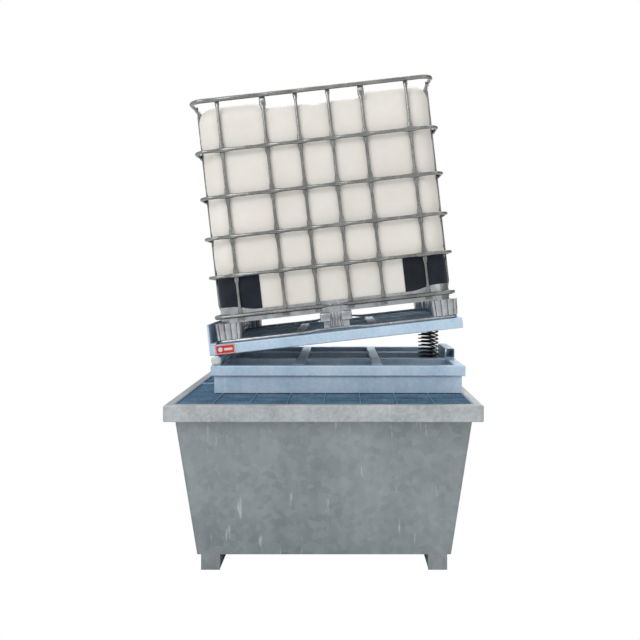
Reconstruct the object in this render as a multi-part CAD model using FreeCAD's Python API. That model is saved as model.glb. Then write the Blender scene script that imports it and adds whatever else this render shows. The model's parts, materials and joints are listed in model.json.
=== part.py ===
"""Intermediate bulk container on a spring-loaded tilting stand over a spill sump.

Millimetres. X runs along the wide side, Y to the rear, Z up. The origin is the centre of the
sump's footprint on the floor. The stand is modelled level about its own centre on the grating, and
the container about the centre of its underside. The platform and the container are then turned up
about the hinge by TILT, the position in which an almost empty container rests.
"""
import FreeCAD
import Part
import math
import os

V = FreeCAD.Vector
UP = V(0, 0, 1)

# ---- sump ------------------------------------------------------------------------------------
SUMP_SIZE = 1400.0          # rim, outside, both ways
SUMP_H = 765.0              # floor to grating top
SUMP_BASE = 1146.0          # tub, outside, at its floor
SUMP_SHEET = 3.0
RIM_W = 40.0                # rim tube, across
RIM_H = 74.0                # rim tube, height
RIM_RADIUS = 7.0
SKID_W = 86.0
SKID_H = 70.0
SKID_X = 514.0              # skid centre from the middle
SKID_WALL = 4.0
LEDGE_W = 40.0
LEDGE_T = 5.0

# ---- grating ---------------------------------------------------------------------------------
BAR_DEPTH = 30.0
BAR_T = 4.0
CELLS_X = 8
CELLS_Y = 5                 # in each of the two panels
GRATING_GAP = 2.0           # play round each panel
BEAM_CAP_W = 50.0
BEAM_SEAT_W = 90.0
BEAM_DEPTH = 45.0
BEAM_WALL = 4.0

# ---- stand base ------------------------------------------------------------------------------
STAND_X = 62.0              # stand centre from the sump centre
STAND_Y = 160.0
STAND_L = 1225.0            # along X
STAND_W = 1030.0            # along Y
SKIRT_H = 82.0
SKIRT_INSET = 15.0
SKIRT_T = 4.0
FRAME_TUBE = 50.0           # square tube of both frames
FRAME_WALL = 3.0
FRAME_RADIUS = 5.0
CROSS_X = 192.0             # tubes along Y, from the stand centre
LONG_Y = 163.0              # members along X, from the stand centre
LONG_W = 40.0
STOP_L = 300.0
STOP_PLAY = 0.5             # gap left over the rest stop with the platform level

# ---- hinge and platform ----------------------------------------------------------------------
TILT = 6.4                  # degrees
HINGE_INSET = 26.5          # hinge axis from the frame's left edge
FRAME_GAP = 50.0            # between the two frames, level
KNUCKLE_R = 24.15
KNUCKLE_BLOCK = 36.0
KNUCKLE_L = 100.0
KNUCKLE_GAP = 1.0
PIN_R = 16.0
PIN_PLAY = 0.05
PIN_CAP_R = 24.0
PIN_CAP_T = 6.0
END_STOP_H = 100.0
END_STOP_T = 8.0
END_STOP_FOOT = 25.0
MARKER_L = 94.0
MARKER_H = 45.0
MARKER_X = 29.0             # from the frame's left edge
MARKER_T = 1.0

# ---- springs ---------------------------------------------------------------------------------
SPRING_X = 494.0            # from the stand centre
SPRING_Y = 80.0
SPRING_R = 43.0             # to the middle of the wire
WIRE_R = 5.0
SPRING_TURNS = 14
SPRING_PLAY = 0.5
SEAT_T = 6.0
SEAT_L = 130.0
SPIGOT_R = 26.0
SPIGOT_WALL = 4.0
SPIGOT_H = 20.0

# ---- container: pallet -----------------------------------------------------------------------
BOX_X = 10.0                # container centre from the stand centre
REST_GAP = 0.3
CAGE_L = 1200.0
CAGE_W = 1000.0
CAGE_H = 1189.0
RUNNER_R = 8.0
RUNNER_INSET = 12.0         # runner's outside, in from the cage's outside
FOOT_W = 135.0
FOOT_H = 78.0
FOOT_TAPER = 9.0
FOOT_WALL = 3.0
FOOT_INSET = 5.0
MID_FOOT_L = 155.0
MID_FOOT_D = 100.0
PAN_SHEET = 3.0
PAN_EDGE = 32.0
PAN_CORNER_H = 77.0
PAN_CORNER_L = 85.0

# ---- container: cage -------------------------------------------------------------------------
RING_R = 8.5
TUBE_WALL = 1.5
CAGE_CORNER = 60.0          # ring centre line
PALLET_RING_R = 10.0
PALLET_RING_INSET = 5.0
PALLET_RING_Z = 126.0
TOP_RING_R = 11.0
RING_HEIGHTS = (322.0, 511.0, 708.0, 932.0)
UPRIGHT_R = 8.5
FRONT_UPRIGHTS = (-460.0, -240.0, -79.0, 79.0, 240.0, 460.0)
SIDE_UPRIGHTS = (-345.0, -140.0, 140.0, 345.0)
TAB_T = 5.0
TAB_TOP_W = 22.0
TAB_FOOT_W = 34.0
TAB_FOOT_H = 44.0
TAB_TOP_H = 68.0
TOP_BAR_X = 240.0
TOP_BAR_R = 9.0
TOP_BAR_PLAY = 3.0          # bar to the bottle's trough
BOLT_R = 4.0
BOLT_PLAY = 0.1
BOLT_HEAD_R = 7.5
BOLT_HEAD_H = 5.0
NUT_H = 6.5
BOLT_EDGE = 4.0             # bolt head to the top ring

# ---- container: bottle -----------------------------------------------------------------------
BOTTLE_PLAY = 4.5           # bottle wall to upright
BOTTLE_WALL = 3.0
BOTTLE_CORNER = 80.0
BOTTLE_EDGE = 45.0
BOTTLE_TOP_DROP = 27.0      # shoulders below the cage's top
TROUGH_W = 530.0
TROUGH_D = 37.0
NICHE_D = 85.0
NICHE_W = 230.0
NICHE_H = 190.0
GUARD_T = 3.0
GUARD_L = 214.0
GUARD_H = 227.0
GUARD_PLAY = 0.4
NECK_R = 80.0
NECK_H = 26.0
NECK_WALL = 4.0

# ---- container: lid and valve ----------------------------------------------------------------
LID_WALL = 6.0
LID_TOP = 8.0
LID_PLAY = 0.8
LID_GAP = 4.0
GASKET_T = 6.0
SEAT_GAP = 0.4
VENT_R = 20.0
VENT_HEAD_R = 27.0
VENT_HEAD_H = 12.0
VALVE_Z = 74.0              # valve axis above the bottle's floor
VALVE_FLANGE_R = 46.0
VALVE_FLANGE_T = 8.0
VALVE_BODY_R = 36.0
VALVE_BODY_L = 46.0
VALVE_OUTLET_R = 28.0
VALVE_OUTLET_L = 16.0
VALVE_BORE_R = 22.0
VALVE_BOSS_R = 14.0
VALVE_BOSS_H = 14.0
CAP_WALL = 6.0
CAP_END = 6.0
CAP_L = 21.0
LEVER_L = 92.0
LEVER_W = 24.0
LEVER_T = 10.0
LEVER_HUB_R = 17.0
LEVER_PIN_R = 6.0
LEVER_PIN_L = 12.0

# ---- sizes worked out from the ones above ----------------------------------------------------
LEDGE_Z = SUMP_H - BAR_DEPTH                 # top of the ledge, under the grating
WALL_TOP_Z = LEDGE_Z - LEDGE_T
MOUTH = SUMP_SIZE - 2 * RIM_W                # rim, inside
BASE_RIM_Z = SKIRT_H                         # in the stand's own frame, from the grating up
BASE_TOP_Z = SKIRT_H + FRAME_TUBE
HINGE_X = -STAND_L / 2 + HINGE_INSET
HINGE_Z = BASE_TOP_Z + FRAME_GAP / 2
DECK_Z = BASE_TOP_Z + FRAME_GAP              # platform, underside
DECK_TOP_Z = DECK_Z + FRAME_TUBE
PAN_Z = 2 * RUNNER_R + FOOT_H                # in the container's own frame, from its underside
BOTTLE_Z = PAN_Z + PAN_SHEET
TOP_RING_Z = CAGE_H - TOP_RING_R
UPRIGHT_INSET = 2 * RING_R + UPRIGHT_R       # cage's outside to the uprights' centre line
BOTTLE_INSET = UPRIGHT_INSET + UPRIGHT_R + BOTTLE_PLAY
BOTTLE_L = CAGE_L - 2 * BOTTLE_INSET
BOTTLE_W = CAGE_W - 2 * BOTTLE_INSET
BOTTLE_TOP_Z = CAGE_H - BOTTLE_TOP_DROP
TROUGH_Z = BOTTLE_TOP_Z - TROUGH_D
TOP_BAR_Z = TROUGH_Z + TOP_BAR_PLAY + TOP_BAR_R
BOLT_Z = TOP_RING_Z - TOP_RING_R - BOLT_EDGE - BOLT_HEAD_R
TAB_Y = -CAGE_W / 2 + 2 * TOP_RING_R         # outside of the tabs at the front uprights' tops
NECK_TOP_Z = TROUGH_Z + NECK_H


# ---- helpers ---------------------------------------------------------------------------------
def box(x0, x1, y0, y1, z0, z1):
    return Part.makeBox(x1 - x0, y1 - y0, z1 - z0, V(x0, y0, z0))


def centred(lx, ly, z0, z1, cx=0.0, cy=0.0):
    return box(cx - lx / 2, cx + lx / 2, cy - ly / 2, cy + ly / 2, z0, z1)


def cyl(r, length, at, along):
    return Part.makeCylinder(r, length, at, along)


def pipe(r, wall, length, at, along):
    return cyl(r, length, at, along).cut(cyl(r - wall, length, at, along))


def edges_along(shape, direction):
    """Straight edges of a shape that run along a direction."""
    found = []
    for edge in shape.Edges:
        if len(edge.Vertexes) == 2:
            run = edge.Vertexes[1].Point - edge.Vertexes[0].Point
            if abs(abs(run.dot(direction)) - run.Length) < 1e-6:
                found.append(edge)
    return found


def hollow_bar(x0, x1, y0, y1, z0, z1, along, wall, radius):
    """A length of rectangular tube with rounded outer edges, open at both ends."""
    outer = box(x0, x1, y0, y1, z0, z1)
    outer = outer.makeFillet(radius, edges_along(outer, along))
    wx = 0.0 if along.x else wall
    wy = 0.0 if along.y else wall
    wz = 0.0 if along.z else wall
    return outer.cut(box(x0 + wx, x1 - wx, y0 + wy, y1 - wy, z0 + wz, z1 - wz))


def hexahedron(low, high):
    """A solid between two quadrilaterals with matching corners."""
    faces = [Part.Face(Part.makePolygon(low + low[:1])), Part.Face(Part.makePolygon(high + high[:1]))]
    for i in range(4):
        j = (i + 1) % 4
        ring = [low[i], low[j], high[j], high[i], low[i]]
        faces.append(Part.Face(Part.makePolygon(ring)))
    solid = Part.makeSolid(Part.makeShell(faces))
    if solid.Volume < 0:
        solid.reverse()
    return solid


def rounded_prism(lx, ly, radius, z0, z1):
    prism = centred(lx, ly, z0, z1)
    return prism.makeFillet(radius, edges_along(prism, UP))


def quarter_turns(solid, turns=(0, 1, 2, 3)):
    """Copies of a solid turned about Z by quarter turns."""
    copies = []
    for turn in turns:
        copy = solid.copy()
        copy.rotate(V(0, 0, 0), UP, 90 * turn)
        copies.append(copy)
    return copies


def disc(centre, normal, radius):
    return Part.Face(Part.Wire(Part.makeCircle(radius, centre, normal)))


def straight_tube(start, end, radius):
    run = end - start
    return pipe(radius, TUBE_WALL, run.Length, start, run)


def bent_tube(start, centre, turn_axis, radius):
    """A quarter bend whose centre line begins at start and turns about centre."""
    normal = turn_axis.cross(start - centre)
    outer = disc(start, normal, radius).revolve(centre, turn_axis, 90)
    return outer.cut(disc(start, normal, radius - TUBE_WALL).revolve(centre, turn_axis, 90))


def tube_ring(lx, ly, z, radius, corner):
    """A tube bent into a rounded rectangle: four straight lengths and four bends.
    lx and ly are outside sizes, and corner is the bend radius of the centre line."""
    hx = lx / 2 - radius
    hy = ly / 2 - radius
    solids = []
    for sy in (-1, 1):
        solids.append(straight_tube(V(-hx + corner, sy * hy, z), V(hx - corner, sy * hy, z), radius))
    for sx in (-1, 1):
        solids.append(straight_tube(V(sx * hx, -hy + corner, z), V(sx * hx, hy - corner, z), radius))
    for sx in (-1, 1):
        for sy in (-1, 1):
            centre = V(sx * (hx - corner), sy * (hy - corner), z)
            start = centre + V(sx * corner, 0, 0)
            solids.append(bent_tube(start, centre, V(0, 0, sx * sy), radius))
    return solids


def stand_frame_members(z):
    """Rim, cross tubes and long members of one of the stand's two frames, underside at z."""
    hx = STAND_L / 2
    hy = STAND_W / 2
    top = z + FRAME_TUBE
    rim = []
    for sy in (-1, 1):
        y0, y1 = sorted((sy * hy, sy * (hy - FRAME_TUBE)))
        rim.append(hollow_bar(-hx, hx, y0, y1, z, top, V(1, 0, 0), FRAME_WALL, FRAME_RADIUS))
    for sx in (-1, 1):
        x0, x1 = sorted((sx * hx, sx * (hx - FRAME_TUBE)))
        inner = hy - FRAME_TUBE
        rim.append(hollow_bar(x0, x1, -inner, inner, z, top, V(0, 1, 0), FRAME_WALL, FRAME_RADIUS))
    cross = []
    half = FRAME_TUBE / 2
    inner = hy - FRAME_TUBE
    for x in (-CROSS_X, CROSS_X):
        cross.append(hollow_bar(x - half, x + half, -inner, inner, z, top, V(0, 1, 0),
                                FRAME_WALL, FRAME_RADIUS))
    spans = ((-hx + FRAME_TUBE, -CROSS_X - half), (-CROSS_X + half, CROSS_X - half),
             (CROSS_X + half, hx - FRAME_TUBE))
    long = []
    for y in (-LONG_Y, LONG_Y):
        for x0, x1 in spans:
            long.append(hollow_bar(x0, x1, y - LONG_W / 2, y + LONG_W / 2, z, top, V(1, 0, 0),
                                   FRAME_WALL, FRAME_RADIUS))
    return rim, cross, long


# ---- frames of reference ---------------------------------------------------------------------
def on_sump(shape):
    return shape


def on_stand(shape):
    shape.translate(V(STAND_X, STAND_Y, SUMP_H))
    return shape


def on_platform(shape):
    shape.rotate(V(HINGE_X, 0, HINGE_Z), V(0, -1, 0), TILT)
    return on_stand(shape)


def on_container(shape):
    shape.translate(V(BOX_X, 0, DECK_TOP_Z + REST_GAP))
    return on_platform(shape)


def tilted_height(x, z):
    """Height, in the stand's frame, of a level platform point once the platform is turned up."""
    angle = math.radians(TILT)
    return HINGE_Z + (x - HINGE_X) * math.sin(angle) + (z - HINGE_Z) * math.cos(angle)


def tilted_x(x, z):
    angle = math.radians(TILT)
    return HINGE_X + (x - HINGE_X) * math.cos(angle) - (z - HINGE_Z) * math.sin(angle)


def save(node, solids, place):
    shape = Part.makeCompound([place(solid.copy()) for solid in solids])
    bad = [solid for solid in solids if not solid.isValid()]
    print(node, len(shape.Solids), round(shape.Volume / 1000.0, 1), "BAD" if bad else "")
    shape.exportStep("parts/%s.step" % node)


# ---- sump ------------------------------------------------------------------------------------
def tub_half(z):
    """Half width of the tub's outside at a height: it widens evenly from its floor to its top."""
    share = (z - SKID_H) / (WALL_TOP_Z - SKID_H)
    return SUMP_BASE / 2 + share * (MOUTH - SUMP_BASE) / 2


def tub_wall():
    """The front wall, mitred at both corners."""
    z0 = SKID_H + SUMP_SHEET
    z1 = WALL_TOP_Z
    corners = []
    for z in (z0, z1):
        out = tub_half(z)
        inn = out - SUMP_SHEET
        corners.append([V(-out, -out, z), V(out, -out, z), V(inn, -inn, z), V(-inn, -inn, z)])
    return hexahedron(corners[0], corners[1])


def rim_length():
    """The rim tube's front length, mitred at both corners."""
    half = SUMP_SIZE / 2
    inner = half - RIM_W
    bar = hollow_bar(-half, half, -half, -inner, SUMP_H - RIM_H, SUMP_H, V(1, 0, 0),
                     SUMP_SHEET, RIM_RADIUS)
    outline = [V(-half, -half, 0), V(half, -half, 0), V(inner, -inner, 0), V(-inner, -inner, 0)]
    mitre = Part.Face(Part.makePolygon(outline + outline[:1])).extrude(V(0, 0, SUMP_H))
    return bar.common(mitre)


def ledge_length():
    half = MOUTH / 2
    inner = half - LEDGE_W
    outline = [V(-half, -half, WALL_TOP_Z), V(half, -half, WALL_TOP_Z),
               V(inner, -inner, WALL_TOP_Z), V(-inner, -inner, WALL_TOP_Z)]
    return Part.Face(Part.makePolygon(outline + outline[:1])).extrude(V(0, 0, LEDGE_T))


def skid(side):
    """One skid: a square tube with a plate closing each end."""
    x0 = side * SKID_X - SKID_W / 2
    x1 = x0 + SKID_W
    y1 = SUMP_BASE / 2
    y0 = y1 - SKID_WALL
    tube = hollow_bar(x0, x1, -y0, y0, 0, SKID_H, V(0, 1, 0), SKID_WALL, SKID_WALL * 1.5)
    return [tube, box(x0, x1, -y1, -y0, 0, SKID_H), box(x0, x1, y0, y1, 0, SKID_H)]


def support_beam():
    """Beam under the joint of the two grating panels, its cap flush with the grating."""
    inner = MOUTH / 2 - LEDGE_W
    half = MOUTH / 2 - GRATING_GAP
    seat = hollow_bar(-inner, inner, -BEAM_SEAT_W / 2, BEAM_SEAT_W / 2, LEDGE_Z - BEAM_DEPTH,
                      LEDGE_Z, V(1, 0, 0), BEAM_WALL, BEAM_WALL * 1.25)
    cap = hollow_bar(-half, half, -BEAM_CAP_W / 2, BEAM_CAP_W / 2, LEDGE_Z, SUMP_H, V(1, 0, 0),
                     BEAM_WALL, BEAM_WALL * 1.25)
    return [seat, cap]


def grating(side):
    """One panel: whole bars along X with short bars butted between them."""
    half = MOUTH / 2 - GRATING_GAP
    near = BEAM_CAP_W / 2 + GRATING_GAP
    y0, y1 = sorted((side * near, side * half))
    pitch_x = (2 * half - BAR_T) / CELLS_X
    pitch_y = (y1 - y0 - BAR_T) / CELLS_Y
    bars = []
    for row in range(CELLS_Y + 1):
        y = y0 + row * pitch_y
        bars.append(box(-half, half, y, y + BAR_T, LEDGE_Z, SUMP_H))
    for row in range(CELLS_Y):
        y = y0 + row * pitch_y + BAR_T
        for column in range(CELLS_X + 1):
            x = -half + column * pitch_x
            bars.append(box(x, x + BAR_T, y, y + pitch_y - BAR_T, LEDGE_Z, SUMP_H))
    return bars


# ---- stand -----------------------------------------------------------------------------------
def base_skirt():
    hx = STAND_L / 2 - SKIRT_INSET
    hy = STAND_W / 2 - SKIRT_INSET
    plates = []
    for side in (-1, 1):
        y0, y1 = sorted((side * hy, side * (hy - SKIRT_T)))
        plates.append(box(-hx, hx, y0, y1, 0, SKIRT_H))
        x0, x1 = sorted((side * hx, side * (hx - SKIRT_T)))
        plates.append(box(x0, x1, -hy + SKIRT_T, hy - SKIRT_T, 0, SKIRT_H))
    return plates


def spring_seat(z0):
    """Plate under or over both springs, reaching the long members each side."""
    reach = 2 * LONG_Y
    return centred(SEAT_L, reach, z0, z0 + SEAT_T, SPRING_X)


def spigots(z0):
    return [pipe(SPIGOT_R, SPIGOT_WALL, SPIGOT_H, V(SPRING_X, y, z0), UP)
            for y in (-SPRING_Y, SPRING_Y)]


def spring(y):
    """A compression spring standing on the lower seat, just clear of the turned-up upper seat."""
    mid_x = (SPRING_X + tilted_x(SPRING_X, DECK_Z - SEAT_T)) / 2
    left = mid_x - SPRING_R - WIRE_R
    top = tilted_height(left, DECK_Z - SEAT_T) - SPRING_PLAY
    bottom = SEAT_T + SPRING_PLAY
    rise = top - bottom - 2 * WIRE_R
    helix = Part.makeHelix(rise / SPRING_TURNS, rise, SPRING_R)
    wire = Part.Wire(Part.makeCircle(WIRE_R, V(SPRING_R, 0, 0), V(0, 1, 0)))
    coil = Part.Wire(helix).makePipeShell([wire], True, True)
    coil.translate(V(mid_x, y, bottom + WIRE_R))
    return coil


def rest_stop():
    """Short tube the platform's right rail comes down on."""
    x1 = STAND_L / 2
    return hollow_bar(x1 - FRAME_TUBE, x1, -STOP_L / 2, STOP_L / 2, BASE_TOP_Z,
                      DECK_Z - STOP_PLAY, V(0, 1, 0), FRAME_WALL, FRAME_RADIUS)


def knuckle(y0, up):
    """Bored knuckle on a block welded to the frame above (up) or below it."""
    tube = cyl(KNUCKLE_R, KNUCKLE_L, V(HINGE_X, y0, HINGE_Z), V(0, 1, 0))
    z0, z1 = (HINGE_Z, DECK_Z) if up else (BASE_TOP_Z, HINGE_Z)
    block = box(HINGE_X - KNUCKLE_BLOCK / 2, HINGE_X + KNUCKLE_BLOCK / 2, y0, y0 + KNUCKLE_L, z0, z1)
    bore = cyl(PIN_R + PIN_PLAY, KNUCKLE_L, V(HINGE_X, y0, HINGE_Z), V(0, 1, 0))
    return tube.fuse(block).cut(bore).removeSplitter()


def knuckles(up):
    """Base knuckles stand at both ends and the middle; the platform's lie beside them."""
    end = STAND_W / 2
    step = KNUCKLE_L + KNUCKLE_GAP
    if up:
        starts = (-end + step, -KNUCKLE_L / 2 - step, KNUCKLE_L / 2 + KNUCKLE_GAP,
                  end - KNUCKLE_L - step)
    else:
        starts = (-end, -KNUCKLE_L / 2, end - KNUCKLE_L)
    return [knuckle(y0, up) for y0 in starts]


def hinge_pin():
    return cyl(PIN_R, STAND_W, V(HINGE_X, -STAND_W / 2, HINGE_Z), V(0, 1, 0))


def pin_caps():
    caps = []
    for side in (-1, 1):
        cap = cyl(PIN_CAP_R, PIN_CAP_T, V(HINGE_X, side * STAND_W / 2, HINGE_Z), V(0, side, 0))
        rim = [edge for edge in cap.Edges if abs(abs(edge.CenterOfMass.y) - STAND_W / 2) > 1
               and len(edge.Vertexes) == 1]
        caps.append(cap.makeFillet(PIN_CAP_T / 3, rim))
    return caps


def end_stop():
    """Angle along the left rail that the container's pallet is set against."""
    x0 = -STAND_L / 2
    top = DECK_TOP_Z + END_STOP_H
    blade = box(x0, x0 + END_STOP_T, -STAND_W / 2, STAND_W / 2, DECK_TOP_Z, top)
    foot = box(x0, x0 + END_STOP_T + END_STOP_FOOT, -STAND_W / 2, STAND_W / 2, DECK_TOP_Z,
               DECK_TOP_Z + END_STOP_T)
    return blade.fuse(foot).removeSplitter()


def marker_plate():
    x0 = -STAND_L / 2 + MARKER_X
    y0 = -STAND_W / 2 - MARKER_T
    z0 = DECK_Z + (FRAME_TUBE - MARKER_H) / 2
    return box(x0, x0 + MARKER_L, y0, -STAND_W / 2, z0, z0 + MARKER_H)


# ---- container: pallet -----------------------------------------------------------------------
def tapered_foot(lx, ly, cx, cy):
    """A pressed cup, open at the top where it meets the pan, narrower at its foot."""
    z0 = 2 * RUNNER_R

    def shell(inset, bottom):
        low = [V(cx + sx * (lx / 2 - FOOT_TAPER - inset), cy + sy * (ly / 2 - FOOT_TAPER - inset),
                 bottom) for sx, sy in ((-1, -1), (1, -1), (1, 1), (-1, 1))]
        high = [V(cx + sx * (lx / 2 - inset), cy + sy * (ly / 2 - inset), PAN_Z)
                for sx, sy in ((-1, -1), (1, -1), (1, 1), (-1, 1))]
        return hexahedron(low, high)

    return shell(0, z0).cut(shell(FOOT_WALL, z0 + FOOT_WALL))


def corner_feet():
    x = CAGE_L / 2 - FOOT_INSET - FOOT_W / 2
    y = CAGE_W / 2 - FOOT_INSET - FOOT_W / 2
    return [tapered_foot(FOOT_W, FOOT_W, sx * x, sy * y) for sx in (-1, 1) for sy in (-1, 1)]


def middle_feet():
    """One under the middle of each side and one under the centre."""
    x = CAGE_L / 2 - FOOT_INSET - MID_FOOT_D / 2
    y = CAGE_W / 2 - FOOT_INSET - MID_FOOT_D / 2
    feet = [tapered_foot(MID_FOOT_L, MID_FOOT_D, 0, sy * y) for sy in (-1, 1)]
    feet += [tapered_foot(MID_FOOT_D, MID_FOOT_L, sx * x, 0) for sx in (-1, 1)]
    return feet + [tapered_foot(MID_FOOT_L, MID_FOOT_D, 0, 0)]


def runner():
    return tube_ring(CAGE_L - 2 * RUNNER_INSET, CAGE_W - 2 * RUNNER_INSET, RUNNER_R, RUNNER_R,
                     CAGE_CORNER / 2)


def pan_size(inset):
    gap = GUARD_PLAY + GUARD_T + PAN_SHEET
    return BOTTLE_L + 2 * (gap - inset), BOTTLE_W + 2 * (gap - inset), BOTTLE_CORNER + gap - inset


def pallet_pan():
    """Shallow tray under the bottle, its edge raised at the four corners."""
    lx, ly, radius = pan_size(0)
    ix, iy, inner_radius = pan_size(PAN_SHEET)
    top = PAN_Z + PAN_CORNER_H
    tray = rounded_prism(lx, ly, radius, PAN_Z, top)
    tray = tray.cut(rounded_prism(ix, iy, inner_radius, PAN_Z + PAN_SHEET, top))
    edge_z = PAN_Z + PAN_EDGE
    tray = tray.cut(centred(lx + 2, ly - 2 * PAN_CORNER_L, edge_z, top))
    return tray.cut(centred(lx - 2 * PAN_CORNER_L, ly + 2, edge_z, top)).removeSplitter()


# ---- container: cage -------------------------------------------------------------------------
def upright(u, half_depth):
    """One upright of the front face: a tube with a flat tab at each end."""
    y = -half_depth + UPRIGHT_INSET
    z0 = BOTTLE_Z + TAB_T
    z1 = TOP_RING_Z + TAB_T
    low = z0 + TAB_FOOT_H - TAB_T
    tube = pipe(UPRIGHT_R, TUBE_WALL, z1 - TAB_TOP_H + TAB_T - low, V(u, y, low), UP)
    top_y = -half_depth + 2 * TOP_RING_R
    foot_y = -half_depth + PALLET_RING_INSET + 2 * PALLET_RING_R
    top_tab = box(u - TAB_TOP_W / 2, u + TAB_TOP_W / 2, top_y, top_y + TAB_T,
                  z1 - TAB_TOP_H, z1)
    foot_tab = box(u - TAB_FOOT_W / 2, u + TAB_FOOT_W / 2, foot_y, foot_y + TAB_T,
                   z0, z0 + TAB_FOOT_H)
    return tube.fuse([top_tab, foot_tab])


def bolt_hole(x):
    """Through the upright's tab and the top bar's tab behind it, at the front."""
    return cyl(BOLT_R + BOLT_PLAY, 2 * TAB_T, V(x, TAB_Y, BOLT_Z), V(0, 1, 0))


def long_side_uprights(side):
    posts = []
    for x in FRONT_UPRIGHTS:
        post = upright(x, CAGE_W / 2)
        if abs(x) == TOP_BAR_X:
            post = post.cut(bolt_hole(x))
        posts.append(post)
    return [quarter_turns(post, (0 if side < 0 else 2,))[0] for post in posts]


def short_side_uprights(side):
    posts = [upright(u, CAGE_L / 2) for u in SIDE_UPRIGHTS]
    return [quarter_turns(post, (1 if side > 0 else 3,))[0] for post in posts]


def top_bars():
    """Two bars over the bottle, each end flattened and bolted to the uprights it meets."""
    end = -TAB_Y - TAB_T
    bars = []
    for x in (-TOP_BAR_X, TOP_BAR_X):
        tabs = []
        for side in (-1, 1):
            y0, y1 = sorted((side * end, side * (end - TAB_T)))
            tabs.append(box(x - TAB_TOP_W / 2, x + TAB_TOP_W / 2, y0, y1, TOP_BAR_Z - TOP_BAR_R,
                            BOLT_Z + BOLT_HEAD_R + TAB_T / 2))
        bar = pipe(TOP_BAR_R, TUBE_WALL, 2 * (end - TAB_T), V(x, -end + TAB_T, TOP_BAR_Z), V(0, 1, 0))
        holes = [bolt_hole(x), quarter_turns(bolt_hole(-x), (2,))[0]]
        bars.append(bar.fuse(tabs).cut(holes).removeSplitter())
    return bars


def top_bolts():
    """Round-headed bolt and nut at each end of both top bars."""
    bolts = []
    for x in (-TOP_BAR_X, TOP_BAR_X):
        head = cyl(BOLT_HEAD_R, BOLT_HEAD_H, V(x, TAB_Y - BOLT_HEAD_H, BOLT_Z), V(0, 1, 0))
        shank = cyl(BOLT_R, 2 * TAB_T + NUT_H, V(x, TAB_Y, BOLT_Z), V(0, 1, 0))
        nut = cyl(BOLT_HEAD_R, NUT_H, V(x, TAB_Y + 2 * TAB_T, BOLT_Z), V(0, 1, 0))
        bolts += quarter_turns(head.fuse([shank, nut]).removeSplitter(), (0, 2))
    return bolts


# ---- container: bottle and its fittings ------------------------------------------------------
def bottle_form(inset):
    """Outside of the bottle, or its inside when drawn in by the wall."""
    z0 = BOTTLE_Z + inset
    z1 = BOTTLE_TOP_Z - inset
    form = rounded_prism(BOTTLE_L - 2 * inset, BOTTLE_W - 2 * inset, BOTTLE_CORNER - inset, z0, z1)
    ends = [edge for edge in form.Edges
            if edge.BoundBox.ZLength < 1e-6]
    form = form.makeFillet(BOTTLE_EDGE - inset, ends)
    trough = centred(TROUGH_W + 2 * inset, BOTTLE_W, TROUGH_Z - inset, z1)
    x0 = -BOTTLE_L / 2
    niche = box(x0, x0 + NICHE_D + inset, -NICHE_W / 2 - inset, NICHE_W / 2 + inset, z0 - inset,
                BOTTLE_Z + NICHE_H + inset)
    return form.cut([trough, niche])


def bottle():
    neck = cyl(NECK_R, NECK_H + BOTTLE_WALL, V(0, 0, TROUGH_Z - BOTTLE_WALL), UP)
    bore = cyl(NECK_R - NECK_WALL, NECK_H + 3 * BOTTLE_WALL, V(0, 0, TROUGH_Z - 3 * BOTTLE_WALL), UP)
    outlet = cyl(VALVE_BORE_R, 3 * BOTTLE_WALL,
                 V(-BOTTLE_L / 2 + NICHE_D - BOTTLE_WALL, 0, BOTTLE_Z + VALVE_Z), V(1, 0, 0))
    return bottle_form(0).fuse(neck).cut(bottle_form(BOTTLE_WALL)).cut([bore, outlet])


def corner_guard(sx, sy):
    """Moulded guard wrapped round one bottom corner of the bottle."""
    lx, ly, radius = pan_size(PAN_SHEET)
    grow = GUARD_T
    z1 = BOTTLE_Z + GUARD_H
    band = rounded_prism(lx, ly, radius, BOTTLE_Z, z1)
    band = band.cut(rounded_prism(lx - 2 * grow, ly - 2 * grow, radius - grow, BOTTLE_Z, z1))
    x0, x1 = sorted((sx * lx / 2, sx * (lx / 2 - GUARD_L)))
    y0, y1 = sorted((sy * ly / 2, sy * (ly / 2 - GUARD_L)))
    return band.common(box(x0, x1, y0, y1, BOTTLE_Z, z1))


def lid():
    """Screw lid: a skirt over the neck and a top with a tapped hole for the vent plug."""
    z0 = TROUGH_Z + LID_GAP
    z1 = NECK_TOP_Z + SEAT_GAP + GASKET_T
    inner = NECK_R + LID_PLAY
    cup = cyl(inner + LID_WALL, z1 + LID_TOP - z0, V(0, 0, z0), UP)
    cup = cup.cut(cyl(inner, z1 - z0, V(0, 0, z0), UP))
    return cup.cut(cyl(VENT_R + PIN_PLAY, LID_TOP, V(0, 0, z1), UP))


def lid_gasket():
    z = NECK_TOP_Z + SEAT_GAP
    return pipe(NECK_R, NECK_WALL + GASKET_T, GASKET_T, V(0, 0, z), UP)


def vent_plug():
    z1 = NECK_TOP_Z + SEAT_GAP + GASKET_T + LID_TOP + SEAT_GAP
    shank = cyl(VENT_R, LID_TOP + SEAT_GAP, V(0, 0, z1 - LID_TOP - SEAT_GAP), UP)
    head = cyl(VENT_HEAD_R, VENT_HEAD_H, V(0, 0, z1), UP)
    slot = centred(2 * VENT_R, GASKET_T, z1 + VENT_HEAD_H / 2, z1 + VENT_HEAD_H)
    return shank.fuse(head).removeSplitter().cut(slot)


def valve_places():
    """X of the niche wall, the valve body's outer end and the outlet's end; the axis height."""
    wall = -BOTTLE_L / 2 + NICHE_D
    body = wall - VALVE_FLANGE_T - VALVE_BODY_L
    return wall, body, body - VALVE_OUTLET_L, BOTTLE_Z + VALVE_Z


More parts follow.
